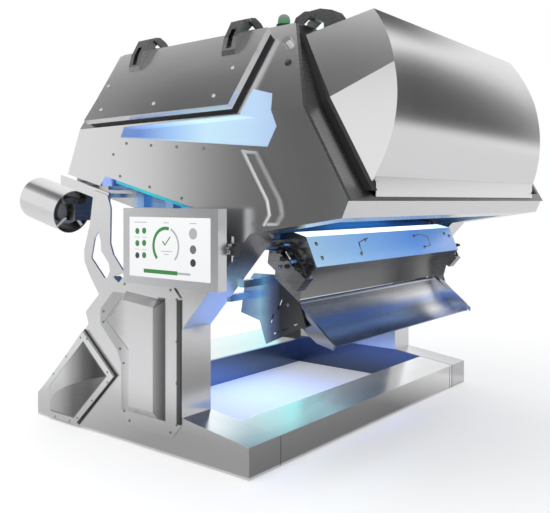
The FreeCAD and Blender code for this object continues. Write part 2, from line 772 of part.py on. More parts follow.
def roof_doors():
    low, high = at.door_low, at.door_high
    rear, front = at.door_rear + at.door_shift, at.door_front + at.door_shift
    seal_outer = slope_plate("door_seal_outer", door_outline(8), 0, at.door_seal)
    seal_inner = slope_plate("door_seal_inner", door_outline(at.door_seal_width), -5, 40)
    pair("door_seals", cut("near_door_seal", seal_outer, seal_inner))
    base = at.door_seal + at.running_gap
    pan = slope_plate("door_pan", door_outline(0), base, base + at.door_thick)
    room = slope_plate("door_room", door_outline(at.door_sheet), base - 5,
                       base + at.door_thick - at.door_sheet)
    both_sides("roof_door", cut("near_roof_door", pan, room))
    face = base + at.door_thick
    up, out = at.door_pin_slope, at.door_pin_out
    pin_y, pin_z = slope_point(up, out)
    straps, brackets = [], []
    for k, middle in enumerate((rear + at.strap_inset, front - at.strap_inset)):
        start, end = middle - at.strap_width / 2, middle + at.strap_width / 2
        arm = plate(
            f"door_arm_{k}", "YZ",
            [slope_point(high - 150, face + 0.3), slope_point(high + 0.4, face + 0.3),
             slope_point(high + 6, face - 10), slope_point(up, out - at.knuckle),
             slope_point(up + at.knuckle * 0.6, out), slope_point(up, out + at.knuckle),
             slope_point(up - 30, face + 40), slope_point(high - 60, face + 36),
             slope_point(high - 130, face + 16)],
            start, end)
        eye = rod(f"door_eye_{k}", "X", at.knuckle, (start, pin_y, pin_z), at.strap_width)
        bore = rod(f"door_bore_{k}", "X", at.pin_radius + at.pin_clearance,
                   (start - 1, pin_y, pin_z), at.strap_width + 2)
        slot = slope_block(f"door_arm_slot_{k}", (high - 120, high - 8), (face - 2, face + 60),
                           middle - 16, middle + 16)
        straps.append(cut(f"door_strap_{k}",
                          cut(f"door_strap_drilled_{k}", fuse(f"door_strap_form_{k}", arm, eye),
                              bore), slot))
        ear = at.plate * 2
        ears = []
        for j, x0 in enumerate((start - ear - 1, end + 1)):
            ears.append(plate(
                f"door_ear_{k}_{j}", "YZ",
                [(pin_y - 18, pin_z + 14), (pin_y - 22, pin_z - 6), (pin_y + 34, at.housing_top),
                 (pin_y + 100, at.housing_top), (pin_y + 60, pin_z), (pin_y + 16, pin_z + 20)],
                x0, x0 + ear))
        foot = box(f"door_foot_{k}", (start - ear - 1, end + ear + 1),
                   (pin_y + 36, pin_y + 100), (at.housing_top, at.housing_top + 8))
        pin = rod(f"door_pin_{k}", "X", at.pin_radius, (start - ear - 3, pin_y, pin_z),
                  at.strap_width + ear * 2 + 6)
        brackets.append(fuse(f"door_bracket_{k}", foot, pin, *ears))
    both_sides("door_straps", group("near_door_straps", *straps))
    both_sides("door_hinge_brackets", group("near_door_hinge_brackets", *brackets))


def beacon():
    x, y = 60, near + 340
    wide = 38
    base = plate("beacon_base", "XY",
                 [(x - wide, y - 16), (x - 16, y - wide), (x + 16, y - wide), (x + wide, y - 16),
                  (x + wide, y + 16), (x + 16, y + wide), (x - 16, y + wide), (x - wide, y + 16)],
                 at.housing_top, at.housing_top + 14)
    keep("beacon_base", base)
    keep("beacon_lens", rod("beacon_lens", "Z", 32, (x, y, at.housing_top + 14), 54))
    # a lamp boss near the roof's front corner on each side
    y, z = slope_point(419, 0)
    boss = rod("near_lamp_boss", "Z", 23, (178, y, z), 24)
    boss.Placement.Rotation = FreeCAD.Rotation(FreeCAD.Vector(1, 0, 0), 90 - at.roof_lean.value)
    pair("lamp_bosses", boss)


# conveyor: two rails, a slider bed, two pulleys and the belt round them
def rail_outline(front, rear, below, height):
    return [(front, belt_z(front) - below), (front, belt_z(front) - below - height),
            (rear, belt_z(rear) - below - height), (rear, belt_z(rear) - below)]


def axis_z(x):
    """Height of a pulley's axis under the belt's top."""
    return belt_z(x) - (at.pulley_radius + at.belt_thick) / cosine(at.belt_slope)


def conveyor():
    front, rear = at.pulley_front, at.pulley_rear
    rail = plate("near_rail_plate", "XZ",
                 rail_outline(front + 44, rear - 46, at.rail_below, at.rail_height),
                 -at.rail_offset - at.rail_plate, -at.rail_offset)
    for k, x in enumerate((front, rear)):
        rail = cut(f"near_rail_drilled_{k}", rail,
                   rod(f"near_rail_bore_{k}", "Y", at.shaft_radius + at.pin_clearance,
                       (x, -at.rail_offset - at.rail_plate - 1, axis_z(x)), at.rail_plate + 2))
    blocks = []
    for k, (x, under, over) in enumerate(((-215, 118, -20), (-640, 100, 110), (-880, 100, 110))):
        blocks.append(box(f"rail_block_{k}", (x - 30, x + 30),
                          (-inner_half, -at.rail_offset - at.rail_plate),
                          (belt_z(x) - under, belt_z(x) + over)))
    both_sides("conveyor_rail", fuse("near_conveyor_rail", rail, *blocks))
    width = at.belt_width / 2
    outer_r = at.pulley_radius + at.belt_thick
    tilt_x, tilt_z = sine(at.belt_slope), cosine(at.belt_slope)

    def round_belt(name, radius, wide):
        """A loop's solid: a slab between the pulleys with a drum at each end."""
        zf, zr = axis_z(front), axis_z(rear)
        slab = plate(
            name + "_slab", "XZ",
            [(front + tilt_x * radius, zf + tilt_z * radius),
             (front - tilt_x * radius, zf - tilt_z * radius),
             (rear - tilt_x * radius, zr - tilt_z * radius),
             (rear + tilt_x * radius, zr + tilt_z * radius)],
            -wide, wide)
        drums = [rod(f"{name}_drum_{k}", "Y", radius, (x, -wide, z), wide * 2)
                 for k, (x, z) in enumerate(((front, zf), (rear, zr)))]
        return fuse(name, slab, *drums)

    outside = round_belt("belt_outside", outer_r, width)
    inside = round_belt("belt_inside", at.pulley_radius + at.running_gap, width + 1)
    keep("conveyor_belt", cut("conveyor_belt", outside, inside))
    bed_front, bed_rear = front - at.pulley_radius - 20, rear + at.pulley_radius + 20
    bed_top = at.belt_thick / tilt_z + at.running_gap
    bed = plate("slider_bed", "XZ", rail_outline(bed_front, bed_rear, bed_top, 5),
                -at.rail_offset + at.running_gap, at.rail_offset - at.running_gap)
    keep("slider_bed", bed)
    cross = []
    for k, x in enumerate((-420, -760, -1080)):
        z = belt_z(x) - 62
        cross.append(hollow(f"cross_tube_{k}",
                            [(x - 20, z - 20), (x + 20, z - 20), (x + 20, z + 20), (x - 20, z + 20)],
                            -at.rail_offset, at.rail_offset, at.rail_plate / 4))
    keep("cross_tubes", group("cross_tubes", *cross))
    for node, x in (("front_pulley", front), ("drive_pulley", rear)):
        drum = rod(node + "_drum", "Y", at.pulley_radius, (x, -width - 5, axis_z(x)),
                   width * 2 + 10)
        shaft = rod(node + "_shaft", "Y", at.shaft_radius,
                    (x, -at.rail_offset - at.rail_plate - 12, axis_z(x)),
                    (at.rail_offset + at.rail_plate + 12) * 2)
        room = rod(node + "_room", "Y", at.pulley_radius - at.drum_wall,
                   (x, -width + 5, axis_z(x)), width * 2 - 10)
        keep(node, fuse(node, cut(node + "_tube", drum, room), shaft))
    # outer side rails beside the belt's infeed, and the blocks that join them to the conveyor
    side_out = half - at.side_rail_inset
    outer_rail = plate("near_side_rail", "XZ", rail_outline(-940, -1392, 34, 58),
                       -side_out, -side_out + at.rail_plate)
    ties = []
    for k, x in enumerate((-1000, -1330)):
        ties.append(box(f"side_tie_{k}", (x - 12, x + 12),
                        (-side_out + at.rail_plate, -at.rail_offset - at.rail_plate),
                        (belt_z(x) - 75, belt_z(x) - 51)))
    pair("side_rails", fuse("near_side_rail", outer_rail, *ties))


def infeed_brackets():
    outline = [(-1062, 1360), (-1096, 1175), (-1150, 1020), (-1148, 955), (-1102, 881),
               (-1010, 765.6), (-876, 886.4), (-794, 908), (-890, 1003), (-916, 1064), (-912, 1262),
               (-940, 1330)]
    slot = [(-1018, 1130), (-1054, 1090), (-1084, 976), (-966, 869), (-940, 874), (-918, 910),
            (-926, 950), (-996, 1021), (-1000, 1075)]
    y0 = near + at.side_rail_inset - 10.3
    whole = plate("bracket_plate", "XZ", outline, y0, y0 + 10)
    pair("infeed_brackets",
         cut("near_infeed_bracket", whole, plate("bracket_slot", "XZ", slot, y0 - 1, y0 + 11)))
    bar = plate("near_foot_rail", "XZ",
                [(-820, 852), (-878, 884), (-1118, 668), (-1090, 595.5)], near + 6, near + 60)
    pair("foot_rails", bar)


def drive():
    """The gear motor hangs beside the rear pulley in a round cowl that points up the infeed."""
    x, y, z = -1452, near + 156, 1232
    length, radius, wall = 372, 134, 4
    angle = at.belt_slope.value
    turn = FreeCAD.Rotation(FreeCAD.Vector(0, 1, 0), -90 + angle)

    def along(name, r, start, size):
        """A cylinder on the motor's axis, which lies parallel to the belt."""
        part = doc.addObject("Part::Cylinder", name)
        part.Radius = r
        part.Height = size
        ahead = math.cos(math.radians(angle)) * start
        up = math.sin(math.radians(angle)) * start
        place(part, x - ahead, y, z + up, turn=turn)
        return part

    bars = []
    for k, spin in enumerate((45, 135)):
        bar = doc.addObject("Part::Box", f"cowl_bar_{k}")
        reach = radius - wall / 2
        bar.Length, bar.Width, bar.Height = 18, reach * 2, 10
        spun = turn.multiply(FreeCAD.Rotation(FreeCAD.Vector(0, 0, 1), spin))
        middle = spun.multVec(FreeCAD.Vector(9, reach, -6))
        place(bar, x - middle.x, y - middle.y, z - middle.z, turn=spun)
        bars.append(bar)
    shell = cut("cowl_shell", along("cowl_outside", radius, 0, length),
                along("cowl_inside", radius - wall, -2, length - 20))
    cowl = cut("motor_cowl", fuse("cowl_form", shell, *bars), along("cowl_eye", 34.3, -20, 60))
    keep("motor_cowl", cowl)
    px, pz = at.pulley_rear, axis_z(at.pulley_rear)
    inner = -at.rail_offset - at.rail_plate - at.running_gap
    case = box("drive_case_plate", (px - 18, px + 46), (inner - 52, inner), (z - 50, pz))
    crown = rod("drive_case_crown", "Y", 46, (px, inner - 52, pz), 52)
    bore = rod("drive_case_bore", "Y", at.shaft_radius + at.pin_clearance,
               (px, inner - 16, pz), 20)
    elbow = box("drive_elbow", (px - 38, px + 46), (y - 52, inner - 20), (z - 50, z + 50))
    keep("drive_case", cut("drive_case", fuse("drive_case_form", case, crown, elbow), bore))
    motor = fuse("motor_form", along("motor_barrel", 82, 30, 300), along("motor_hub", 34, -20, 55))
    seat = box("motor_seat", (px - 38 - at.running_gap, px + 60), (y - 60, y + 60),
               (z - 70, z + 70))
    keep("gear_motor", cut("gear_motor", motor, seat))


# operator screen, its bracket and clamp knob
def screen():
    rear_x = at.screen_front_x - at.screen_width
    low = at.screen_mid_z - at.screen_height / 2
    high = at.screen_mid_z + at.screen_height / 2
    back = near - at.screen_gap
    case = box("screen_case", (rear_x, at.screen_front_x), (back - at.screen_depth, back),
               (low, high))
    rim_x, rim_low, rim_high = 48, 40, 44
    recess = box("screen_recess", (rear_x + rim_x, at.screen_front_x - rim_x),
                 (back - at.screen_depth - 1, back - at.screen_depth + 4),
                 (low + rim_low, high - rim_high))
    ears = []
    pin_y = near - at.screen_pin_out
    for k, x in enumerate((rear_x + 150, at.screen_front_x - 60)):
        ears.append(box(f"screen_ear_{k}", (x, x + 14), (back - 2, pin_y + 20),
                        (at.screen_mid_z - 24, at.screen_mid_z + 24)))
    room = box("screen_room", (rear_x + 6, at.screen_front_x - 6),
               (back - at.screen_depth + 10, back - 4), (low + 6, high - 6))
    body = cut("screen_case_open", fuse("screen_case_form", cut("screen_case_shell", case, room),
                                        *ears), recess)
    bored = cut("screen_housing", body,
                rod("screen_bore", "X", at.pin_radius + at.pin_clearance,
                    (rear_x, pin_y, at.screen_mid_z), at.screen_width))
    keep("screen_housing", bored)
    glass = box("screen_glass", (rear_x + rim_x + 0.3, at.screen_front_x - rim_x - 0.3),
                (back - at.screen_depth + 1, back - at.screen_depth + 3.7),
                (low + rim_low + 0.3, high - rim_high - 0.3))
    keep("screen_glass", glass)
    wall_plate = box("screen_wall_plate", (rear_x + 120, at.screen_front_x - 20),
                     (near - 8, near), (at.screen_mid_z - 60, at.screen_mid_z + 60))
    lugs = []
    for k, x in enumerate((rear_x + 135, at.screen_front_x - 45)):
        lugs.append(box(f"screen_lug_{k}", (x, x + 14), (pin_y - 18, near - 7),
                        (at.screen_mid_z - 24, at.screen_mid_z + 24)))
    pin = rod("screen_pin", "X", at.pin_radius, (rear_x + 130, pin_y, at.screen_mid_z),
              at.screen_width - 130 + 30)
    keep("screen_bracket", fuse("screen_bracket", wall_plate, pin, *lugs))
    knob_x = at.screen_front_x + 14
    core = rod("knob_core", "X", at.knob_radius - 8, (knob_x, pin_y, at.screen_mid_z), 26)
    lobes = []
    for k in range(5):
        around = math.radians(72 * k + 18)
        reach = number(at.knob_radius) - 9
        lobes.append(rod(f"knob_lobe_{k}", "X", 9,
                         (knob_x, pin_y + reach * math.cos(around),
                          at.screen_mid_z + reach * math.sin(around)), 26))
    bore = rod("knob_bore", "X", at.pin_radius + at.pin_clearance,
               (knob_x - 1, pin_y, at.screen_mid_z), 20)
    keep("clamp_knob", cut("clamp_knob", fuse("clamp_knob_form", core, *lobes), bore))


def covers():
    outline = [(-785, 872), (-965, 700), (-965, 617), (-820, 487), (-788, 420), (-785, 160),
               (-725, 100), (-390, 100), (-330, 165), (-330, 810), (-390, 872)]
    tray = [(-747, 816), (-925, 645), (-728, 497), (-728, 173), (-441, 173), (-441, 790)]
    face = near - at.cover_plate
    flange = plate("cover_flange", "XZ", outline, face, near)
    raised = plate("cover_tray", "XZ", tray, face - at.cover_depth, face, taper=-at.cover_bevel)
    core = doc.addObject("Part::Offset2D", "cover_core")
    core.Source = raised.Tip.Profile[0]
    bind(core, "Value", -at.cover_wall * 2)
    room = doc.addObject("Part::Extrusion", "cover_room")
    room.Base = core
    room.DirMode = "Custom"
    room.Dir = FreeCAD.Vector(0, 0, 1)
    room.Solid = True
    bind(room, "LengthFwd", at.cover_depth + at.cover_plate - at.cover_wall)
    bind(room, "TaperAngle", -at.cover_bevel)
    place(room, 0, near, 0, turn=TURNS["XZ"])
    both_sides("column_cover", cut("near_column_cover", fuse("cover_form", flange, raised), room))
    guard = [(-1112, 562), (-1465, 208), (-1453, 20), (-1177, 20), (-837, 344)]
    pocket = [(-1104, 505), (-1428, 202), (-1418, 52), (-1192, 52), (-892, 338)]
    # the pocket's upper part is a wing that slopes inwards towards the front, over an open mouth
    wing = [(-1104, 505), (-1428, 202), (-1422, 110, 760), (-892, 338)]
    out = near - at.guard_depth
    rim = plate("guard_form", "XZ", guard, out, near)
    room = plate("guard_pocket", "XZ", pocket, out - 1, near - at.guard_floor)
    sheet_of = plate("guard_wing_form", "XZ", wing, out + 2, near - at.guard_floor + 1)
    shave = box("guard_shave", (-1600, -700), (-60, 0), (0, 700))
    place(shave, -1428, out + 2, 0, turn=FreeCAD.Rotation(FreeCAD.Vector(0, 0, 1), 1.4))
    both_sides("foot_guard", fuse("near_foot_guard", cut("guard_rim", rim, room),
                                  cut("guard_wing", sheet_of, shave)))


def grab_handles():
    points = [(123, 1527), (265, 1300), (278, 1236), (250, 1195)]
    y = near - 45
    path = [FreeCAD.Vector(px, number(y), pz) for px, pz in points]
    start = FreeCAD.Vector(points[0][0], number(near), points[0][1])
    end = FreeCAD.Vector(points[-1][0], number(near), points[-1][1])
    wire = Part.makePolygon([start] + path + [end])
    tube = wire.makePipeShell([Part.Wire(Part.makeCircle(8, start, FreeCAD.Vector(0, -1, 0)))],
                              True, False, 1)
    feature = doc.addObject("Part::Feature", "near_grab_handle")
    feature.Shape = tube
    pair("grab_handles", feature)


# below the hood: background box, ejector bar, chute and their end plates
def product_path():
    bx, bz = at.box_front_x, at.box_front_z
    ends = at.cheek_offset - at.running_gap
    front = hollow(
        "background_box",
        [(bx, bz), (bx + 65, bz - 147), (bx - 40, bz - 165), (bx - 88, bz - 60), (bx - 88, bz - 8)],
        -ends, ends, at.chute_sheet)
    keep("background_box", front)
    lamp = plate(
        "background_lamp", "XZ",
        [(bx, bz + 0.3), (bx - 88, bz - 7.7), (bx - 88, bz + 20)], -ends, ends)
    keep("background_lamp", lamp)
    bar = hollow("ejector_bar",
                 [(bx - 158, bz - 140), (bx - 98, bz - 140), (bx - 98, bz - 50), (bx - 158, bz - 50)],
                 -ends, ends, at.cheek_plate)
    keep("ejector_bar", bar)
    thick = at.chute_sheet
    cx, cz = at.chute_x, at.chute_z
    lip_x, lip_z = at.chute_lip_x, at.chute_lip_z
    trough = plate(
        "chute_sheet_metal", "XZ",
        [(cx, cz, at.chute_curve), (lip_x, lip_z),
         (lip_x + thick * 0.4, lip_z - thick, -(at.chute_curve + thick)),
         (cx - thick, cz - thick * 0.2)],
        -at.chute_half, at.chute_half)
    tube = rod("chute_tube", "Y", 14, (cx - 10, -at.cheek_offset + 1, cz), (at.cheek_offset - 1) * 2)
    stub = rod("chute_stub", "Y", at.pin_radius,
               (cx - 10, -at.cheek_offset - at.cheek_plate, cz), (at.cheek_offset + at.cheek_plate) * 2)
    cheeks = []
    for side, y in (("near", -at.chute_half - thick), ("far", at.chute_half)):
        cheeks.append(plate(
            side + "_chute_cheek", "XZ",
            [(cx - 8, cz + 20), (lip_x + 6, lip_z + 26), (lip_x + 6, lip_z - 8),
             (cx + 151, cz - 179), (cx + 86, cz - 135), (cx + 32, cz - 81), (cx - 8, cz - 8)],
            y, y + thick))
        edge = y - 14 if side == "near" else y + thick
        cheeks.append(plate(
            side + "_chute_grip", "XZ",
            [(cx + 40, cz - 8), (cx + 52, cz + 6), (lip_x + 26, lip_z + 18), (lip_x + 22, lip_z - 8)],
            edge, edge + 14))
    pan = fuse("chute_pan", trough, *cheeks)
    keep("chute", fuse("chute", pan, fuse("chute_axle", tube, stub)))
    rear_sheet = plate(
        "back_sheet", "XZ",
        [(cx + 52, cz + 184, 260), (cx + 4, cz + 22), (cx, cz + 22, -264),
         (cx + 48, cz + 186)],
        -ends, ends)
    keep("back_sheet", rear_sheet)
    face, back = -at.cheek_offset - at.cheek_plate, -at.cheek_offset
    cheek = plate(
        "near_end_plate_sheet", "XZ",
        [(-160, 920), (-227, 843), (-251, 706), (-121, 674), (-78, 556), (180, 673),
         (cx + 60, cz + 22), (-20, 905), (-20, 920)],
        face, back)
    for k, (x, z, dx, dz) in enumerate(((-38, 690, 12, 26), (14, 770, 12, 26), (-10, 622, 20, 9),
                                        (52, 648, 20, 9), (112, 675, 14, 6))):
        slot = plate(f"end_plate_slot_{k}", "XZ",
                     [(x - dx - 3, z - dz + 3), (x - dx + 3, z - dz - 3), (x + dx + 3, z + dz - 3),
                      (x + dx - 3, z + dz + 3)], face - 1, back + 1)
        cheek = cut(f"end_plate_slotted_{k}", cheek, slot)
    bore = rod("end_plate_bore", "Y", at.pin_radius + at.pin_clearance,
               (cx - 10, face - 1, cz), at.cheek_plate + 2)
    stays = [box(f"stay_{k}", (x - 18, x + 18), (-inner_half, face + at.cheek_plate / 2),
                 (z - 18, z + 18)) for k, (x, z) in enumerate(((-205, 800), (-110, 880)))]
    both_sides("end_plate", cut("near_end_plate", fuse("end_plate_form", cheek, *stays), bore))
    # the hanger that carries the background box and the ejector bar
    hanger = plate(
        "hanger_sheet", "XZ",
        [(-20, 920), (-20, 905), (cx + 60, cz + 22), (160, 880), (240, 974), (175, 1121), (95, 1143),
         (20, 1135)],
        face, back)
    stay = box("hanger_stay", (28, 62), (-inner_half, face + at.cheek_plate / 2), (1070, 1104))
    both_sides("hanger", fuse("near_hanger", hanger, stay))
    # air valves and their manifold: a channel that slopes down outside each hanger
    shoulder = [(0, 1056), (60, 1046), (228, 918), (173, 855), (-10, 985)]
    both_sides("valve_arm", plate("near_valve_arm", "XZ", shoulder, face - 70, face))


def inspection():
    """Cameras and lights in the upper housing, and the control cabinets behind the roof doors."""
    ends = inner_half - at.running_gap
    beam = hollow("camera_beam", [(60, 1620), (140, 1620), (140, 1690), (60, 1690)], -ends, ends, 5)
    keep("camera_beam", beam)
    heads = []
    for k, y in enumerate((-660, -220, 220, 660)):
        body = box(f"camera_body_{k}", (52, 148), (y - 50, y + 50), (1480, 1619.7))
        room = box(f"camera_room_{k}", (56, 144), (y - 46, y + 46), (1484, 1615.7))
        lens = rod(f"camera_lens_{k}", "Z", 30, (100, y, 1430), 52)
        heads.append(fuse(f"camera_{k}", cut(f"camera_case_{k}", body, room), lens))
    keep("cameras", group("cameras", *heads))
    bars = []
    for k, (x, z) in enumerate(((-40, 1400), (220, 1400))):
        bars.append(hollow(f"light_bar_{k}",
                           [(x - 25, z - 20), (x + 25, z - 20), (x + 25, z + 20), (x - 25, z + 20)],
                           -ends, ends, 4))
    keep("light_bars", group("light_bars", *bars))
    racks = []
    for k, x in enumerate((-1010, -680, -345)):
        foot, top = at.deck_z + at.skin + at.running_gap, at.deck_z + 330
        racks.append(hollow(f"cabinet_{k}", [(x, foot), (x + 240, foot), (x + 240, top), (x, top)],
                            -720, 720, 3))
    keep("control_cabinets", group("control_cabinets", *racks))


for make in (base, side_frames, housing, seam_parts, hood, hood_hinges, roof_doors, beacon,
             conveyor, infeed_brackets, drive, screen, covers, grab_handles, product_path, inspection):
    make()

doc.recompute()
failed = [o.Name for o in doc.Objects if "Invalid" in o.State or "Error" in o.State]
if failed:
    raise SystemExit(f"these objects failed: {failed}")
os.makedirs("parts", exist_ok=True)
for node, thing in nodes.items():
    shape = thing.Shape
    if shape.isNull() or not shape.isValid() or not shape.Solids:
        raise SystemExit(f"{node} is not a valid solid")
    shape.exportStep(f"parts/{node}.step")
print(len(nodes), "sub-parts written")
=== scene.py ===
import math

import bmesh
import bpy
from mathutils import Matrix, Vector


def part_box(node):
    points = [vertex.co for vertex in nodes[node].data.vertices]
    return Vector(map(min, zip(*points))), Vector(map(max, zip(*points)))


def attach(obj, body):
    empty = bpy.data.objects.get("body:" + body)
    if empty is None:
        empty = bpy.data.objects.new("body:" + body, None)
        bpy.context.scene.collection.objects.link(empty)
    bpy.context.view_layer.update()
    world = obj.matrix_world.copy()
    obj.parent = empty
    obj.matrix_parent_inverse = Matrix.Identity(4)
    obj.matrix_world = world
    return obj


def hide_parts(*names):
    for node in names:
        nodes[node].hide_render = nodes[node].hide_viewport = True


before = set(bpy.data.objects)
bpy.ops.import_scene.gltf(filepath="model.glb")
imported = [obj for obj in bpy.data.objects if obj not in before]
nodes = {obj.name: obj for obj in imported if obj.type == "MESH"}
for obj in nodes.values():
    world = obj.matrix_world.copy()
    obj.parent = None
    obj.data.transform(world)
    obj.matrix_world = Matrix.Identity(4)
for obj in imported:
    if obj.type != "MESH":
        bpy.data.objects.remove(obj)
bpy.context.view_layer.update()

# the machine's sizes, in millimetres, as the CAD has them
SIDE = 1184
CREASE = 1711
LEAN = math.radians(32.4)
COVER_FACE, GUARD_FACE = 8, 22
SIDES = (("near", -1), ("far", 1))

# colour sockets of a Mix node: its two inputs and its output
MIX_A, MIX_B, MIX_RESULT = 6, 7, 2
GRAIN_SCALE, GRAIN_STRETCH = 3.0, (2, 2, 420)


# materials
class Nodes:
    """A material's node tree, with short ways to add and link nodes."""

    def __init__(self, name):
        self.material = bpy.data.materials.new(name)
        self.material.use_nodes = True
        self.tree = self.material.node_tree
        self.shader = self.tree.nodes["Principled BSDF"]

    def add(self, kind, **sockets):
        node = self.tree.nodes.new(kind)
        for key, value in sockets.items():
            setattr(node, key, value)
        return node

    def link(self, source, target):
        self.tree.links.new(source, target)

    def set(self, **values):
        for key, value in values.items():
            self.shader.inputs[key.replace("_", " ")].default_value = value

    def noise(self, scale, stretch, detail):
        place = self.add("ShaderNodeTexCoord")
        mapping = self.add("ShaderNodeMapping")
        mapping.inputs["Scale"].default_value = stretch
        noise = self.add("ShaderNodeTexNoise")
        noise.inputs["Scale"].default_value = scale
        noise.inputs["Detail"].default_value = detail
        self.link(place.outputs["Object"], mapping.inputs["Vector"])
        self.link(mapping.outputs["Vector"], noise.inputs["Vector"])
        return noise.outputs["Fac"]

    def ramp(self, source, *stops):
        ramp = self.add("ShaderNodeValToRGB")
        elements = ramp.color_ramp.elements
        while len(elements) < len(stops):
            elements.new(0.5)
        for element, (place, colour) in zip(elements, stops):
            element.position = place
            element.color = (*colour, 1)
        self.link(source, ramp.inputs["Fac"])
        return ramp.outputs["Color"]

    def run(self, axis, low, high, steps):
        """A colour that runs along an axis, from low to high metres: steps are (part, colour)."""
        place = self.add("ShaderNodeTexCoord")
        split = self.add("ShaderNodeSeparateXYZ")
        self.link(place.outputs["Object"], split.inputs["Vector"])
        spread = self.add("ShaderNodeMapRange")
        spread.inputs["From Min"].default_value = low
        spread.inputs["From Max"].default_value = high
        self.link(split.outputs[axis], spread.inputs["Value"])
        return self.ramp(spread.outputs["Result"], *steps)

    def runs(self, first, second, blend, tint):
        """One run of colour, or two blended. Each is (axis, [(metres, value), ...])."""
        tones = []
        for axis, stops in [run for run in (first, second) if run]:
            low, high = stops[0][0], stops[-1][0]
            steps = [((at - low) / (high - low), tint(value)) for at, value in stops]
            tones.append(self.run(axis, low, high, steps))
        if len(tones) == 1:
            return tones[0]
        both = self.add("ShaderNodeMix", data_type="RGBA", blend_type=blend)
        both.inputs["Factor"].default_value = 1.0
        self.link(tones[0], both.inputs[MIX_A])
        self.link(tones[1], both.inputs[MIX_B])
        return both.outputs[MIX_RESULT]

    def span(self, source, low, high):
        spread = self.add("ShaderNodeMapRange")
        spread.inputs["To Min"].default_value = low
        spread.inputs["To Max"].default_value = high
        self.link(source, spread.inputs["Value"])
        return spread.outputs["Result"]

    def bump(self, source, strength, distance):
        bump = self.add("ShaderNodeBump")
        bump.inputs["Strength"].default_value = strength
        bump.inputs["Distance"].default_value = distance
        self.link(source, bump.inputs["Height"])
        self.link(bump.outputs["Normal"], self.shader.inputs["Normal"])


def grey(value):
    return (value, value, value * 1.01)


def steel_tint(value):
    """A steel's tone, given as a grey or as a colour."""
    return grey(value) if isinstance(value, float) else value


def steel(name, tone=0.74, rough=(0.19, 0.26), stretch=GRAIN_STRETCH):
    """Brushed stainless steel, with its grain along the axes that aren't stretched."""
    m = Nodes(name)
    m.set(Metallic=1.0, Anisotropic=0.35)
    grain = m.noise(GRAIN_SCALE, stretch, 4.0)
    cloud = m.noise(1.3, (1, 1, 1), 2.0)
    m.link(m.ramp(grain, (0.3, grey(tone * 0.955)), (0.7, grey(tone * 1.035))),
           m.shader.inputs["Base Color"])
    mix = m.add("ShaderNodeMath", operation="ADD")
    m.link(m.span(grain, rough[0], rough[1]), mix.inputs[0])
    m.link(m.span(cloud, -0.03, 0.03), mix.inputs[1])
    m.link(mix.outputs["Value"], m.shader.inputs["Roughness"])
    m.bump(grain, 0.05, 0.0002)
    return m.material


def shaded(name, first, second=None, blend="MULTIPLY"):
    """Brushed steel whose tone runs along one or two axes, each (axis, [(metres, tone), ...]).
    The runs are painted reflection and painted shade: they stand for what the steel reflects in
    the photograph and for the shade on it, so they go with the piece."""
    m = Nodes(name)
    m.set(Metallic=1.0, Anisotropic=0.35)
    m.link(m.runs(first, second, blend, steel_tint), m.shader.inputs["Base Color"])
    grain = m.noise(GRAIN_SCALE, GRAIN_STRETCH, 4.0)
    m.link(m.span(grain, 0.22, 0.3), m.shader.inputs["Roughness"])
    m.bump(grain, 0.05, 0.0002)
    return m.material


def matt(name, colour, rough=(0.5, 0.7), scale=40.0, bump=0.15, metallic=0.0, shade=0.8):
    """A plain surface with a fine grain in its colour, gloss and relief."""
    m = Nodes(name)
    m.set(Metallic=metallic)
    grain = m.noise(scale, (1, 1, 1), 4.0)
    dark = tuple(c * shade for c in colour)
    m.link(m.ramp(grain, (0.35, dark), (0.65, colour)), m.shader.inputs["Base Color"])
    m.link(m.span(grain, rough[0], rough[1]), m.shader.inputs["Roughness"])
    m.bump(grain, bump, 0.0006)
    return m.material


def glow(name, colours, axis, low, high, strength, rough=0.35, base=(0.04, 0.045, 0.05),
         metal=0.0):
    """A surface that glows with a colour running along an axis of the machine, from low to high:
    lamps and screens, and also painted light on faces that light falls on.
    """
    m = Nodes(name)
    m.set(Roughness=rough, Metallic=metal)
    steps = [(i / (len(colours) - 1), c) for i, c in enumerate(colours)]
    colour = m.run(axis, low, high, steps)
    m.set(Base_Color=(*base, 1))
    m.link(colour, m.shader.inputs["Emission Color"])
    m.set(Emission_Strength=strength)
    return m.material


STEEL = steel("steel_brushed")
STEEL_ACROSS = steel("steel_brushed_across", 0.76, (0.2, 0.27), (420, 1, 420))
# painted reflection and painted blue light: the chute's tone rises along Y, and bands along Z, two
# of them blue, stand for reflected streaks and blue light
CHUTE_PAINTED_REFLECTION = shaded("steel_chute_painted_reflection",
                     ("Y", [(-0.85, (0.34, 0.36, 0.42)), (-0.3, (0.42, 0.44, 0.5)),
                            (0.1, (0.7, 0.7, 0.72)), (0.5, 0.9), (0.85, 0.92)]),
                     ("Z", [(0.48, 0.45), (0.54, 0.6), (0.57, (0.5, 0.62, 0.95)), (0.61, 1.0),
                            (0.64, 0.6), (0.67, (0.6, 0.7, 1.0)), (0.7, 1.0), (0.75, 0.7)]))
SEAM_STEEL = steel("steel_seam", 0.24, (0.24, 0.32))
# painted shade and painted reflection: along X the cover's bevel darkens towards the flange, and
# the steel past the flange's right edge is dark as edge shadow; the top and bottom strips stay
# light
COVER_PAINTED_SHADE = shaded("steel_cover_painted_shade", ("X", [(-0.8, 0.5), (-0.7, 0.76), (-0.5, 0.76), (-0.49, 0.34),
                                           (-0.455, 0.15), (-0.442, 0.1), (-0.434, 0.74),
                                           (-0.36, 0.72), (-0.352, 0.1), (-0.3, 0.1)]),
                     ("Z", [(0.1, 0.76), (0.172, 0.76), (0.176, 0.0), (0.8, 0.0), (0.804, 0.76),
                            (0.9, 0.76)]), "LIGHTEN")
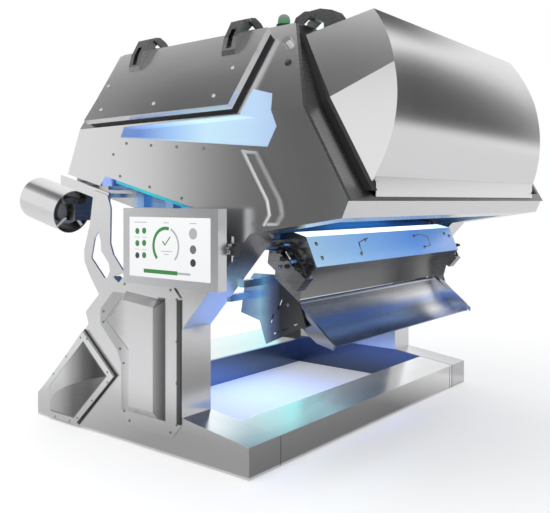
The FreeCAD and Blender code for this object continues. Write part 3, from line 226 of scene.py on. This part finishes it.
# painted blue light: the near conveyor rail turns blue from X -0.9 on, where blue light falls on
# it
RAIL_PAINTED_BLUE_LIGHT = shaded("steel_rail_painted_blue_light", ("X", [(-1.4, 0.6), (-1.0, 0.6), (-0.9, (0.3, 0.5, 0.85)),
                                         (-0.4, (0.35, 0.55, 0.9)), (0.2, (0.4, 0.5, 0.7))]))
# painted light: a glowing strip that stands for cyan light falling on the side under the belt slot
STRIP_PAINTED_CYAN_LIGHT = glow("strip_painted_cyan_light", [(0.0, 0.42, 0.62), (0.0, 0.62, 0.66), (0.02, 0.3, 0.5)], "X",
                  -0.9, -0.3, 0.9)
# painted shade: the foot guard's scoop and its mouth darken to the right, towards the deep tip of
# the V
SCOOP_PAINTED_SHADE = shaded("steel_scoop_painted_shade", ("X", [(-1.45, 0.72), (-1.3, 0.66), (-1.2, 0.36),
                                           (-1.1, 0.14), (-1.0, 0.06), (-0.9, 0.09)]))
MOUTH_PAINTED_SHADE = shaded("steel_mouth_painted_shade", ("X", [(-1.45, 0.7), (-1.33, 0.5), (-1.2, 0.2),
                                           (-1.05, 0.14), (-0.9, 0.24)]))
# painted blue light and painted shade: a blue-lit band across the near end plate, dark beyond it
# along X
END_PLATE_PAINTED_LIGHT = shaded("steel_end_plate_painted_light",
                   ("X", [(-0.3, (0.12, 0.2, 0.42)), (-0.2, (0.3, 0.45, 0.75)),
                          (-0.12, (0.42, 0.72, 0.95)), (-0.04, (0.14, 0.18, 0.32)),
                          (0.02, (0.05, 0.055, 0.07)), (0.14, 0.09)]))
# painted shade and painted reflection: the back sheet is dark steel, darkest from Y 0.3 to 0.45
BACK_PAINTED_SHADE = shaded("steel_back_painted_shade", ("Y", [(-0.8, 0.24), (-0.4, 0.2), (0.05, 0.17), (0.3, 0.05),
                                         (0.45, 0.08), (0.8, 0.3)]))
# painted shade: the rear beam's inner face, from X -1.217 on, is a dark blue-grey, as it lies in
# shade with blue light
REAR_BEAM_PAINTED_SHADE = shaded("steel_rear_beam_painted_shade", ("X", [(-1.5, 0.6), (-1.225, 0.6),
                                                  (-1.217, (0.22, 0.29, 0.42)),
                                                  (-1.19, (0.22, 0.29, 0.42))]))
# painted shade: the far beam's inner face, up to Y 0.984, is a dark blue-grey, as it lies in shade
# with blue light
FAR_BEAM_PAINTED_SHADE = shaded("steel_far_beam_painted_shade", ("Y", [(0.976, (0.15, 0.19, 0.3)),
                                                 (0.984, (0.15, 0.19, 0.3)), (0.99, 0.6),
                                                 (1.2, 0.6)]))
# painted light: the background box's steel face glows blue, with tones running along Y, standing
# for the blue light that falls on it
BOX_FACE_PAINTED_LIGHT = glow("steel_painted_blue_light", [(0.42, 0.68, 0.95), (0.24, 0.5, 0.95), (0.11, 0.32, 0.85),
                                   (0.2, 0.36, 0.7)], "Y", -0.85, 0.85, 0.75, 0.3,
                (0.22, 0.25, 0.3), 1.0)
# painted shade: a darker steel for parts that sit in shade, such as straps, hangers, arms and the
# far end plate
STEEL_DARK = steel("steel_shaded", 0.3, (0.2, 0.32))
STEEL_BRIGHT = steel("steel_polished", 0.8, (0.08, 0.14), (3, 3, 60))
RUBBER = matt("rubber_black", (0.012, 0.012, 0.013), (0.45, 0.65), 60, 0.2)
CLAMP_BLUE = matt("clamp_blue", (0.16, 0.3, 0.6), (0.2, 0.3), 30.0, 0.1, 0.9)
BLACK = matt("plastic_black", (0.02, 0.02, 0.022), (0.25, 0.4), 80, 0.1)
WHITE = matt("paint_white", (0.86, 0.87, 0.89), (0.25, 0.35), 120, 0.03, 0.0, 0.97)
BEZEL = matt("bezel_silver", (0.7, 0.71, 0.72), (0.25, 0.36), 120, 0.04, 0.9, 0.95)
GREY = matt("paint_grey", (0.3, 0.31, 0.33), (0.35, 0.5), 60, 0.06)
BELT = matt("belt_blue", (0.03, 0.16, 0.36), (0.4, 0.6), 150, 0.25, 0.0, 0.7)
WINDOW = glow("window_light", [(0.16, 0.27, 0.62), (0.36, 0.58, 0.95), (0.6, 0.85, 1.0),
                               (0.55, 0.76, 0.98), (0.42, 0.56, 0.86)], "X", -0.8, 0.28, 0.9)
LAMP = glow("lamp_white", [(0.7, 0.9, 1.0), (1.0, 1.0, 1.0), (0.5, 0.78, 1.0)], "Y", -0.9, 0.9,
            1.5)
BEACON = glow("beacon_green", [(0.03, 0.5, 0.12), (0.12, 0.34, 0.18), (0.3, 0.34, 0.32),
                               (0.4, 0.42, 0.42)], "Z", 2.19, 2.245, 0.55)

FINISH = {
    "hood_seal": RUBBER, "door_seals": RUBBER, "clamp_knob": BLACK, "beacon_base": BLACK,
    "beacon_lens": BEACON, "conveyor_belt": BELT, "window_channels": WINDOW,
    "background_lamp": LAMP, "screen_housing": BEZEL, "screen_glass": WHITE,
    "hood_hinge_straps": STEEL_DARK, "near_door_straps": STEEL_DARK, "far_door_straps": STEEL_DARK,
    "gear_motor": GREY, "control_cabinets": GREY, "drive_case": STEEL_DARK, "cameras": BLACK,
    "camera_beam": BLACK, "hood_cover": STEEL_ACROSS, "motor_cowl": STEEL,
    "light_bars": GREY, "drive_pulley": GREY, "front_pulley": GREY,
    "background_box": BOX_FACE_PAINTED_LIGHT, "back_sheet": BACK_PAINTED_SHADE, "rear_beam": REAR_BEAM_PAINTED_SHADE,
    "far_side_beam": FAR_BEAM_PAINTED_SHADE, "near_column_cover": COVER_PAINTED_SHADE,
    "far_column_cover": COVER_PAINTED_SHADE, "near_conveyor_rail": RAIL_PAINTED_BLUE_LIGHT, "chute": CHUTE_PAINTED_REFLECTION,
    "ejector_bar": STEEL_DARK, "near_hanger": STEEL_DARK, "far_hanger": STEEL_DARK,
    "near_valve_arm": STEEL_DARK, "far_valve_arm": STEEL_DARK, "near_end_plate": END_PLATE_PAINTED_LIGHT,
    "far_end_plate": STEEL_DARK, "hood_hinge_brackets": STEEL_DARK,
    "near_door_hinge_brackets": STEEL_DARK, "far_door_hinge_brackets": STEEL_DARK,
    "lamp_bosses": STEEL_BRIGHT, "seam_frame": SEAM_STEEL,
}
for name, node in nodes.items():
    node.data.materials.clear()
    node.data.materials.append(FINISH.get(name, STEEL))


# shapes
def finish_mesh(name, bm, material, body, smooth=False):
    """Turns a bmesh into a piece that rides on a body."""
    bmesh.ops.recalc_face_normals(bm, faces=bm.faces)
    mesh = bpy.data.meshes.new(name)
    bm.to_mesh(mesh)
    bm.free()
    for face in mesh.polygons:
        face.use_smooth = smooth
    mesh.materials.append(material)
    piece = bpy.data.objects.new(name, mesh)
    bpy.context.scene.collection.objects.link(piece)
    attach(piece, body)
    return piece


def mm(*values):
    return Vector(v / 1000 for v in values)


def basis(normal):
    """Turns local Z to the given direction."""
    return Vector(normal).to_track_quat("Z", "Y").to_matrix().to_4x4()


def add_turned(bm, profile, place, normal, steps=14):
    """Adds a turned form: profile is (radius, height) in mm, round the normal at a place in mm."""
    matrix = Matrix.Translation(mm(*place)) @ basis(normal)
    rings = []
    for radius, height in profile:
        ring = []
        for i in range(steps):
            turn = 2 * math.pi * i / steps
            point = mm(radius * math.cos(turn), radius * math.sin(turn), height)
            ring.append(bm.verts.new(matrix @ point))
        rings.append(ring)
    for lower, upper in zip(rings, rings[1:]):
        for i in range(steps):
            j = (i + 1) % steps
            bm.faces.new((lower[i], lower[j], upper[j], upper[i]))
    bm.faces.new(rings[0][::-1])
    bm.faces.new(rings[-1])


SCREW = [(9, 0), (9, 1.6), (7.6, 4), (4.6, 5.6), (4.2, 5.4), (4.0, 2.4)]


def screws(name, places, normal, material, body, size=1.0, lift=0.0):
    """Dome head screws with a round socket, one for each place in mm."""
    bm = bmesh.new()
    profile = [(r * size, h * size + lift) for r, h in SCREW]
    for place in places:
        add_turned(bm, profile, place, normal)
    return finish_mesh(name, bm, material, body, True)


def prism(name, points, low, high, material, body, axis="Y", bevel=1.0):
    """A bevelled solid: an outline in mm, carried from low to high along Y or Z."""
    order = {"Y": lambda u, v, w: (u, w, v), "Z": lambda u, v, w: (u, v, w)}[axis]
    bm = bmesh.new()
    first = [bm.verts.new(mm(*order(u, v, low))) for u, v in points]
    last = [bm.verts.new(mm(*order(u, v, high))) for u, v in points]
    bm.faces.new(first)
    bm.faces.new(last[::-1])
    for i in range(len(points)):
        j = (i + 1) % len(points)
        bm.faces.new((first[j], first[i], last[i], last[j]))
    piece = finish_mesh(name, bm, material, body)
    edge = piece.modifiers.new("edge", "BEVEL")
    edge.width = bevel / 1000
    edge.segments = 2
    edge.limit_method = "ANGLE"
    return piece


def tube(name, points, radius, material, body):
    """A bent wire or tube through points in mm."""
    curve = bpy.data.curves.new(name, "CURVE")
    curve.dimensions = "3D"
    curve.bevel_depth = radius / 1000
    curve.bevel_resolution = 3
    curve.use_fill_caps = True
    spline = curve.splines.new("POLY")
    spline.points.add(len(points) - 1)
    for target, point in zip(spline.points, points):
        target.co = (*mm(*point), 1)
    curve.materials.append(material)
    piece = bpy.data.objects.new(name, curve)
    bpy.context.scene.collection.objects.link(piece)
    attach(piece, body)
    return piece


def mirrored(points):
    return [(x, -y, z) for x, y, z in points]


def on_slope(x, up, out):
    """A point on the near roof side: so far up the slope and out of it, in mm."""
    return (x, -SIDE + up * math.sin(LEAN) - out * math.cos(LEAN),
            CREASE + up * math.cos(LEAN) + out * math.sin(LEAN))


# screws of the housing, the covers and the foot guards
HOUSING = [(-753, 1610), (-556, 1590), (-364, 1573), (-174, 1556), (12, 1535), (115, 1472),
           (-863, 1555), (-806, 1434), (-567, 1373), (-328, 1314), (144, 1193)]
COVER = [(-759, 852), (-939, 688), (-939, 629), (-797, 499), (-767, 425), (-762, 168), (-718, 124),
         (-400, 124), (-354, 171), (-354, 380), (-354, 590), (-354, 803), (-400, 847)]
GUARD = [(-1128, 522), (-1069, 521), (-1264, 396), (-1392, 277), (-888, 360), (-888, 305),
         (-1024, 181), (-1160, 58), (-1231, 28), (-1373, 28)]
GUARD_SEAT = 20
for side, out in SIDES:
    for kind, places, lift, size in (("housing", HOUSING, 0, 0.85),
                                     ("cover", COVER, COVER_FACE, 0.8),
                                     ("guard", GUARD, GUARD_SEAT, 0.75)):
        screws(f"{side}_{kind}_screws", [(x, (SIDE + lift) * out, z) for x, z in places],
               (0, out, 0), STEEL_DARK, "machine", size)


def ruled(name, first, last, depth, out, material, steps=28, rows=8):
    """A sheet between two lines of (X, Z) points, set back from the foot guard's face by
    depth(s, v) mm, where s runs along the lines and v from the first to the last."""
    def at(line, s):
        run = s * (len(line) - 1)
        k = min(int(run), len(line) - 2)
        a, b, f = line[k], line[k + 1], run - k
        return a[0] + (b[0] - a[0]) * f, a[1] + (b[1] - a[1]) * f
    bm = bmesh.new()
    grid = []
    for i in range(steps + 1):
        s = i / steps
        a, b = at(first, s), at(last, s)
        column = []
        for k in range(rows + 1):
            v = k / rows
            x, z = a[0] + (b[0] - a[0]) * v, a[1] + (b[1] - a[1]) * v
            column.append(bm.verts.new(mm(x, (SIDE + (GUARD_FACE - depth(s, v))) * out, z)))
        grid.append(column)
    for one, two in zip(grid, grid[1:]):
        for k in range(rows):
            bm.faces.new((one[k], two[k], two[k + 1], one[k + 1]))
    return finish_mesh(name, bm, material, "machine", True)


# dark lines along the foot guards' V flanges, outside and inside, as painted shadow; and the joint
# across the base's side
RIM_OUT = [(-1118, 566), (-833, 345), (-1172, 16)]
RIM_IN = [(-1108, 500), (-896, 338), (-1192, 56), (-1418, 56)]
JOINT_X, JOINT_Y, JOINT_Z = (117, 120.8), (948, 945), (4, 146)
for side, out in SIDES:
    tube(f"{side}_guard_painted_shadow_outer", [(x, (SIDE + 1.5) * out, z) for x, z in RIM_OUT], 4.5, BLACK,
         "machine")
    tube(f"{side}_guard_painted_shadow_inner", [(x, (SIDE + GUARD_FACE - 1) * out, z) for x, z in RIM_IN], 3.5,
         STEEL_DARK, "machine")
    prism(f"{side}_base_joint",
          [(JOINT_X[0], JOINT_Y[0] * out), (JOINT_X[1], JOINT_Y[0] * out),
           (JOINT_X[1], JOINT_Y[1] * out), (JOINT_X[0], JOINT_Y[1] * out)],
          *JOINT_Z, BLACK, "machine", "Z", 0.3)


# the beacon's dome: green at its foot, clear grey above
def dome(name, node, place, profile, material):
    bm = bmesh.new()
    add_turned(bm, profile, place, (0, 0, 1), 32)
    piece = finish_mesh(name, bm, material, "machine", True)
    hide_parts(node)
    return piece


dome("beacon_dome", "beacon_lens", (60, -844, 2190),
     [(0, 0), (32, 0), (32, 20), (30, 32), (25, 43), (16, 50), (7, 53.5), (0, 54)], BEACON)


# under the belt slot a glowing strip that is painted cyan light, and a blue block; a black sheet
# behind the end plate's slots as painted shade; and the small fittings beside the background box
CLAMPS = [(62, 1050, 20), (108, 1082, 16), (86, 1012, 18), (132, 1040, 14), (150, 1002, 18),
          (112, 972, 15), (176, 968, 16), (72, 968, 12), (205, 1000, 12)]
HOSES = [((60, 1088), (118, 1052), (150, 1064)), ((92, 1046), (128, 996), (120, 944)),
         ((150, 1035), (196, 976), (214, 930))]
STRIP = [(-858, 1424), (-330, 1292), (-330, 1268), (-858, 1398)]
BLOCK = [(-1035, 1362), (-865, 1362), (-842, 1392), (-862, 1426), (-1010, 1426), (-1035, 1400)]
# painted shade: a thin black sheet behind the end plate's slots, so that they show dark
SLOT_SHADE = [(-75, 765), (-42, 805), (-5, 785), (50, 690), (140, 650), (140, 608), (-10, 602)]
FITTINGS_Y, HOSE_Y = 874, 868
for kind, outline, outer, inner, material, bevel in (
        ("painted_cyan_light_strip", STRIP, SIDE - 14, SIDE - 44, STRIP_PAINTED_CYAN_LIGHT, 1.0),
        ("blue_block", BLOCK, 1084, 1014, CLAMP_BLUE, 4.0),
        ("slot_painted_shade", SLOT_SHADE, 812, 809, BLACK, 0.5)):
    for side, out in SIDES:
        prism(f"{side}_{kind}", outline, outer * out, inner * out, material, "machine", "Y", bevel)
for side, out in SIDES:
    for i, (x, z, r) in enumerate(CLAMPS):
        taller = 4 * (i % 3)
        bm = bmesh.new()
        add_turned(bm, [(0, 0), (r, 0), (r, 10), (r * 0.72, 14), (r * 0.72, 22 + taller),
                        (r * 0.4, 26 + taller), (0, 27 + taller)], (x, FITTINGS_Y * out, z),
                   (0.2 * (i % 3 - 1), out, 0.15 * (i % 2)), 10)
        finish_mesh(f"{side}_clamp_{i}", bm, CLAMP_BLUE if i % 3 == 1 else BLACK, "machine", True)
    for i, route in enumerate(HOSES):
        tube(f"{side}_hose_{i}", [(x, HOSE_Y * out, z) for x, z in route], 6.5,
             STEEL_BRIGHT if i == 1 else BLACK, "machine")

# the foot guards' scoops: the part above the mouth's arc and the part below it
MOUTH = [(-1424 + 66.5 * i, 118 + 220 * (i / 8) ** 0.62) for i in range(9)]
RIM = [(-1426, 202), (-1345, 278), (-1265, 353), (-1185, 428), (-1106, 502), (-1052, 461),
       (-998, 420), (-945, 379), (-892, 338)]
SILL = [(-1418, 54), (-1362, 54), (-1305, 54), (-1249, 54), (-1193, 54), (-1118, 125),
        (-1043, 196), (-967, 267), (-892, 338)]
for side, out in SIDES:
    ruled(f"{side}_scoop_top", RIM, MOUTH, lambda s, v: 0.3 + 0.3 * s, out, SCOOP_PAINTED_SHADE)
    ruled(f"{side}_scoop_mouth", MOUTH, SILL, lambda s, v: 0.7 + 0.4 * v, out, MOUTH_PAINTED_SHADE)

# the plug on the roof slope and the doors' screws
DOOR_FACE = 56.3
DOOR = [on_slope(x, up, DOOR_FACE) for x, up in ((-1018, 255), (-963, 79), (-529, 77),
                                                 (-101, 78), (-60, 248))]
outward = (0, -math.cos(LEAN), math.sin(LEAN))
bm = bmesh.new()
add_turned(bm, [(0, 0), (18, 0), (18, 4), (15, 7), (0, 7)], on_slope(231, 285, -0.5), outward, 20)
finish_mesh("roof_plug", bm, BLACK, "machine", True)
screws("near_door_screws", DOOR, outward, STEEL_BRIGHT, "near_door", 1.15)
screws("far_door_screws", mirrored(DOOR), (0, math.cos(LEAN), math.sin(LEAN)), STEEL_BRIGHT,
       "far_door", 1.15)

# what the screen shows: plain dots, a gauge, a progress bar
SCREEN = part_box("screen_glass")
screen_x, screen_z = SCREEN[0].x * 1000, SCREEN[0].z * 1000
screen_w = (SCREEN[1].x - SCREEN[0].x) * 1000
screen_h = (SCREEN[1].z - SCREEN[0].z) * 1000
screen_y = SCREEN[0].y * 1000
LIT = glow("screen_lit", [(0.9, 0.91, 0.92), (0.96, 0.97, 0.97)], "Z", 0.9, 1.25, 0.92)
GREEN = glow("screen_green", [(0.005, 0.2, 0.01), (0.01, 0.24, 0.015)], "Z", 0.9, 1.25, 0.9)
INK = glow("screen_ink", [(0.01, 0.01, 0.01), (0.02, 0.02, 0.02)], "Z", 0.9, 1.25, 0.5)
PALE_INK = glow("screen_pale", [(0.42, 0.43, 0.44), (0.46, 0.47, 0.48)], "Z", 0.9, 1.25, 0.9)
DIM_INK = glow("screen_dim", [(0.12, 0.12, 0.13), (0.16, 0.16, 0.17)], "Z", 0.9, 1.25, 0.9)
nodes["screen_glass"].data.materials.clear()
nodes["screen_glass"].data.materials.append(LIT)


def on_screen(u, v):
    """A point on the screen: u to the right and v up, both from 0 to 1."""
    return (screen_x + u * screen_w, screen_z + v * screen_h)


def mark(name, loops, material, lift=0.3):
    """Flat marks on the screen: each loop is a list of (u, v) points."""
    bm = bmesh.new()
    for loop in loops:
        back, front = [], []
        for u, v in loop:
            x, z = on_screen(u, v)
            front.append(bm.verts.new(mm(x, screen_y - lift, z)))
            back.append(bm.verts.new(mm(x, screen_y - 0.05, z)))
        bm.faces.new(front)
        bm.faces.new(back[::-1])
        for i in range(len(loop)):
            j = (i + 1) % len(loop)
            bm.faces.new((front[j], front[i], back[i], back[j]))
    return finish_mesh(name, bm, material, "screen")


def disc(u, v, radius, steps=24):
    wide = screen_h / screen_w
    return [(u + radius * wide * math.cos(2 * math.pi * i / steps),
             v + radius * math.sin(2 * math.pi * i / steps)) for i in range(steps)]


def arc(u, v, radius, thick, start, end, steps=30):
    """A ring's part as quads, from start to end in degrees."""
    wide = screen_h / screen_w
    quads = []
    for i in range(steps):
        quad = []
        for r, k in ((radius, i), (radius, i + 1), (radius - thick, i + 1), (radius - thick, i)):
            turn = math.radians(start + (end - start) * k / steps)
            quad.append((u + r * wide * math.cos(turn), v + r * math.sin(turn)))
        quads.append(quad)
    return quads


def bar(u0, v0, u1, v1):
    return [(u0, v0), (u1, v0), (u1, v1), (u0, v1)]


mark("screen_green_dots", [disc(u, v, 0.052) for u, v in
                           ((0.105, 0.76), (0.195, 0.77), (0.105, 0.555), (0.195, 0.565),
                            (0.195, 0.36))], GREEN)
mark("screen_black_dot", [disc(0.105, 0.35, 0.052)], INK)
mark("screen_gauge_done", arc(0.47, 0.53, 0.32, 0.055, 225, 75, 36), GREEN)
mark("screen_gauge_rest", arc(0.47, 0.53, 0.32, 0.035, 68, -45, 26), PALE_INK)
mark("screen_tick", [[(0.425, 0.6), (0.435, 0.615), (0.462, 0.565), (0.462, 0.535)],
                     [(0.462, 0.535), (0.462, 0.565), (0.52, 0.69), (0.532, 0.685)]], GREEN)
mark("screen_buttons", [disc(0.8, 0.75, 0.09, 28)], PALE_INK)
mark("screen_buttons_dim", [disc(0.8, 0.5, 0.07, 28)], DIM_INK)
mark("screen_buttons_dark", [disc(0.8, 0.29, 0.062, 28)], INK)
mark("screen_progress", [bar(0.19, 0.07, 0.615, 0.135)], GREEN)
mark("screen_progress_rest", [bar(0.615, 0.085, 0.77, 0.12)], PALE_INK)
mark("screen_rules", [bar(0.06, 0.905, 0.23, 0.918), bar(0.44, 0.905, 0.51, 0.918),
                      bar(0.76, 0.905, 0.84, 0.918), bar(0.41, 0.44, 0.55, 0.452),
                      bar(0.45, 0.39, 0.51, 0.402), bar(0.07, 0.655, 0.14, 0.664),
                      bar(0.165, 0.655, 0.23, 0.664), bar(0.07, 0.45, 0.14, 0.459),
                      bar(0.165, 0.45, 0.23, 0.459)], PALE_INK, 0.2)


# background box: wire handles and screws on its front
BOX_EDGE_X, BOX_EDGE_Z = 178, 1121
box_front = Vector((147, 0, 65)).normalized()
box_down = Vector((65, 0, -147)).normalized()


def on_box(y, down, out=0.0):
    """A point on the box's front face: so far down from its top edge and out of it."""
    return tuple(Vector((BOX_EDGE_X, y, BOX_EDGE_Z)) + box_down * down + box_front * out)


for k, (y, lean) in enumerate(((-330, 1), (320, -1))):
    low, high = (y - 45 * lean, 118), (y + 40 * lean, 42)
    loop = [on_box(low[0], low[1], 2), on_box(low[0] - 30 * lean, low[1], 26),
            on_box(low[0] - 34 * lean, high[1] + 20, 30), on_box(high[0] - 20 * lean, high[1], 30),
            on_box(high[0], high[1], 2)]
    tube(f"box_handle_{k}", loop, 3.5, STEEL_DARK, "machine")
    screws(f"box_handle_screws_{k}", [on_box(low[0], low[1]), on_box(high[0], high[1])],
           box_front, STEEL_DARK, "machine", 1.2)
screws("box_screws", [on_box(-755, 42), on_box(-746, 118), on_box(702, 42), on_box(760, 60)],
       box_front, STEEL_DARK, "machine", 1.3)


# floor, light and camera
def sheet(name, corners, material):
    """A flat stage piece between four corners."""
    mesh = bpy.data.meshes.new(name)
    mesh.from_pydata(corners, [], [(0, 1, 2, 3)])
    mesh.materials.append(material)
    piece = bpy.data.objects.new(name, mesh)
    bpy.context.scene.collection.objects.link(piece)
    return piece


pale = Nodes("floor_pale")
pale.set(Base_Color=(0.9, 0.9, 0.905, 1), Roughness=0.55, Emission_Color=(1, 1, 1, 1))
seen = pale.add("ShaderNodeLightPath")
pale.link(pale.span(seen.outputs["Is Camera Ray"], 0.1, 0.29),
          pale.shader.inputs["Emission Strength"])
sheet("floor", [(-30, -30, 0), (30, -30, 0), (30, 30, 0), (-30, 30, 0)], pale.material)


def seen_tone(value):
    """The emission that brushed steel shows as a picture value of 0 to 255."""
    linear = (value / 255 + 0.055) ** 2.4 / 1.055 ** 2.4 if value > 10 else value / 255 / 12.92
    return min(1.0, linear / 0.74)


def card_tint(value):
    """A card's tone, given as one picture value or as three."""
    values = value if isinstance(value, tuple) else (value, value, value)
    return tuple(seen_tone(v) for v in values)


# flags, as in a studio: cards that only the metal reflects, with soft steps of tone
def flag(name, corners, first, second=None, strength=1.0):
    """first and second are (axis, [(metres, value), ...]); the lighter of the two is shown."""
    m = Nodes(name + "_card")
    m.set(Base_Color=(0.02, 0.02, 0.02, 1), Roughness=0.9, Emission_Strength=strength)
    m.link(m.runs(first, second, "LIGHTEN", card_tint), m.shader.inputs["Emission Color"])
    piece = sheet(name, corners, m.material)
    piece.visible_camera = False
    piece.visible_diffuse = False
    piece.visible_shadow = False


def upright(name, y, low, high, first, second=None, strength=1.0):
    flag(name, [(low[0], y, low[1]), (high[0], y, low[1]), (high[0], y, high[1]),
                (low[0], y, high[1])], first, second, strength)


upright("flag_side", -5.4, (-5.7, 0.02), (-1.3, 4.4),
        ("X", [(-5.7, 240), (-4.9, 200), (-4.4, 110), (-3.8, 60), (-3.2, 40), (-2.7, 54),
               (-2.2, 30), (-1.7, 34), (-1.3, 60)]),
        ("Z", [(0.02, 30), (3.8, 30), (4.4, 100)]))
upright("flag_hood_end", -5.4, (-2.6, 4.5), (1.6, 7.3),
        ("X", [(-2.6, 240), (-1.9, 30), (0.5, 30), (1.6, 240)]),
        ("Z", [(4.5, 120), (4.8, 20), (6.6, 30), (7.0, 150), (7.3, 255)]))
upright("flag_band", 4.5, (1.6, 1.5), (6.2, 5.0),
        ("X", [(1.6, 225), (2.0, 80), (2.5, 22), (3.2, 14), (4.2, 16), (6.2, 24)]),
        ("Z", [(1.5, 235), (1.85, 60), (2.1, 14), (3.9, 14), (4.5, 40), (5.0, 80)]))
upright("flag_far_top", 4.5, (-1.6, 4.4), (1.6, 8.0),
        ("X", [(-1.6, 200), (-0.8, 30), (0.85, 30), (1.1, 110), (1.35, 205), (1.6, 240)]),
        ("Z", [(4.4, 240), (4.8, 160), (5.1, 30), (6.6, 40), (8.0, 235)]))
upright("card_cyan", 4.5, (-5.6, 1.4), (-1.8, 4.9),
        ("X", [(-5.6, 240), (-4.6, (215, 250, 255)), (-3.9, (190, 250, 255)),
               (-3.2, (130, 225, 255)), (-2.6, (150, 200, 250)), (-1.8, 235)]),
        ("Z", [(1.4, (190, 205, 235)), (2.1, (80, 150, 220)), (4.1, (80, 150, 220)),
               (4.9, (220, 240, 250))]), 1.5)
flag("flag_over", [(-5.6, -3.8, 4.3), (-1.5, -3.8, 7.0), (-1.5, 0.9, 7.0), (-5.6, 0.9, 4.3)],
     ("X", [(-5.6, 150), (-4.9, 104), (-4.5, 84), (-4.2, 46), (-3.6, 60), (-3.2, 70), (-2.7, 66),
            (-1.5, 100)]),
     ("Y", [(-3.8, 30), (-2.2, 30), (-1.95, 50), (-1.75, 104), (-1.6, 118), (-1.45, 170),
            (-1.0, 215), (0.9, 255)]))
flag("flag_over_seam", [(1.6, -4.2, 8.0), (4.8, -4.2, 8.0), (4.8, -1.0, 8.0), (1.6, -1.0, 8.0)],
     ("X", [(1.6, 120), (2.4, 20), (4.0, 20), (4.8, 120)]))
# painted shade: grey cards on the floor, seen only in the metal, stand for the floor's shade
# beside and in front of the base
flag("flag_floor_near", [(-2.1, -2.0, 0.004), (0.7, -2.0, 0.004), (0.7, -1.2, 0.004),
                         (-2.1, -1.2, 0.004)],
     ("X", [(-2.1, 190), (-1.4, 175), (-0.7, 142), (0.1, 142), (0.7, 150)]),
     ("Y", [(-2.0, 220), (-1.75, 175), (-1.4, 120), (-1.2, 120)]))
flag("flag_floor_front", [(0.135, -1.3, 0.004), (2.4, -1.3, 0.004), (2.4, 1.3, 0.004),
                          (0.135, 1.3, 0.004)],
     ("X", [(0.135, 98), (0.9, 130), (1.6, 150), (2.4, 240)]),
     ("Y", [(-1.3, 90), (0.3, 100), (1.0, 185), (1.3, 210)]))

world = bpy.data.worlds.new("studio")
bpy.context.scene.world = world
world.use_nodes = True
tree = world.node_tree
back = tree.nodes["Background"]
back.inputs["Color"].default_value = (1, 1, 1, 1)
path = tree.nodes.new("ShaderNodeLightPath")
seen = tree.nodes.new("ShaderNodeMath")
seen.operation = "MAXIMUM"
tree.links.new(path.outputs["Is Camera Ray"], seen.inputs[0])
tree.links.new(path.outputs["Is Glossy Ray"], seen.inputs[1])
through = tree.nodes.new("ShaderNodeMath")
through.operation = "MAXIMUM"
tree.links.new(seen.outputs["Value"], through.inputs[0])
tree.links.new(path.outputs["Is Transmission Ray"], through.inputs[1])
level = tree.nodes.new("ShaderNodeMapRange")
level.inputs["To Min"].default_value = 0.75
level.inputs["To Max"].default_value = 1.0
tree.links.new(through.outputs["Value"], level.inputs["Value"])
tree.links.new(level.outputs["Result"], back.inputs["Strength"])


def area(name, place, aim, size, power, colour=(1, 1, 1), spread=180):
    data = bpy.data.lights.new(name, "AREA")
    data.shape = "RECTANGLE"
    data.size, data.size_y = size
    data.energy = power
    data.color = colour
    data.spread = math.radians(spread)
    lamp = bpy.data.objects.new(name, data)
    bpy.context.scene.collection.objects.link(lamp)
    lamp.location = place
    lamp.rotation_euler = (Vector(aim) - Vector(place)).to_track_quat("-Z", "Y").to_euler()
    lamp.visible_camera = False
    lamp.visible_glossy = False
    return lamp


BLUE, CYAN = (0.12, 0.3, 1.0), (0.25, 0.66, 1.0)
area("light_top", (-1.5, -3.0, 5.0), (-0.3, -0.3, 0.8), (3.0, 3.0), 60)
area("light_box", (0.5, 0, 1.16), (0.3, 0, 1.3), (1.7, 0.1), 3, BLUE, 120)
area("light_base", (0.1, -0.45, 0.95), (0.02, -0.75, 0.2), (0.3, 0.5), 1.5, CYAN, 70)
area("light_inside", (-0.6, 0, 0.9), (-0.75, 0, 0.0), (0.6, 1.4), 5, BLUE, 80)
area("light_belt", (-0.65, 0, 1.5), (-0.75, 0, 1.2), (0.7, 1.6), 7, CYAN)
area("light_flare", (0.05, -0.55, 0.55), (-0.2, -1.1, 0.75), (0.4, 0.5), 2.5, BLUE)

camera_data = bpy.data.cameras.new("camera")
camera = bpy.data.objects.new("camera", camera_data)
bpy.context.scene.collection.objects.link(camera)
camera.location = (2.304, -3.718, 1.300)
camera.rotation_euler = (math.radians(90), 0, math.radians(38.7))
camera_data.lens = 47.2
camera_data.sensor_width = 36
camera_data.shift_y = -0.101
bpy.context.scene.camera = camera
bpy.context.scene.view_settings.view_transform = "Standard"
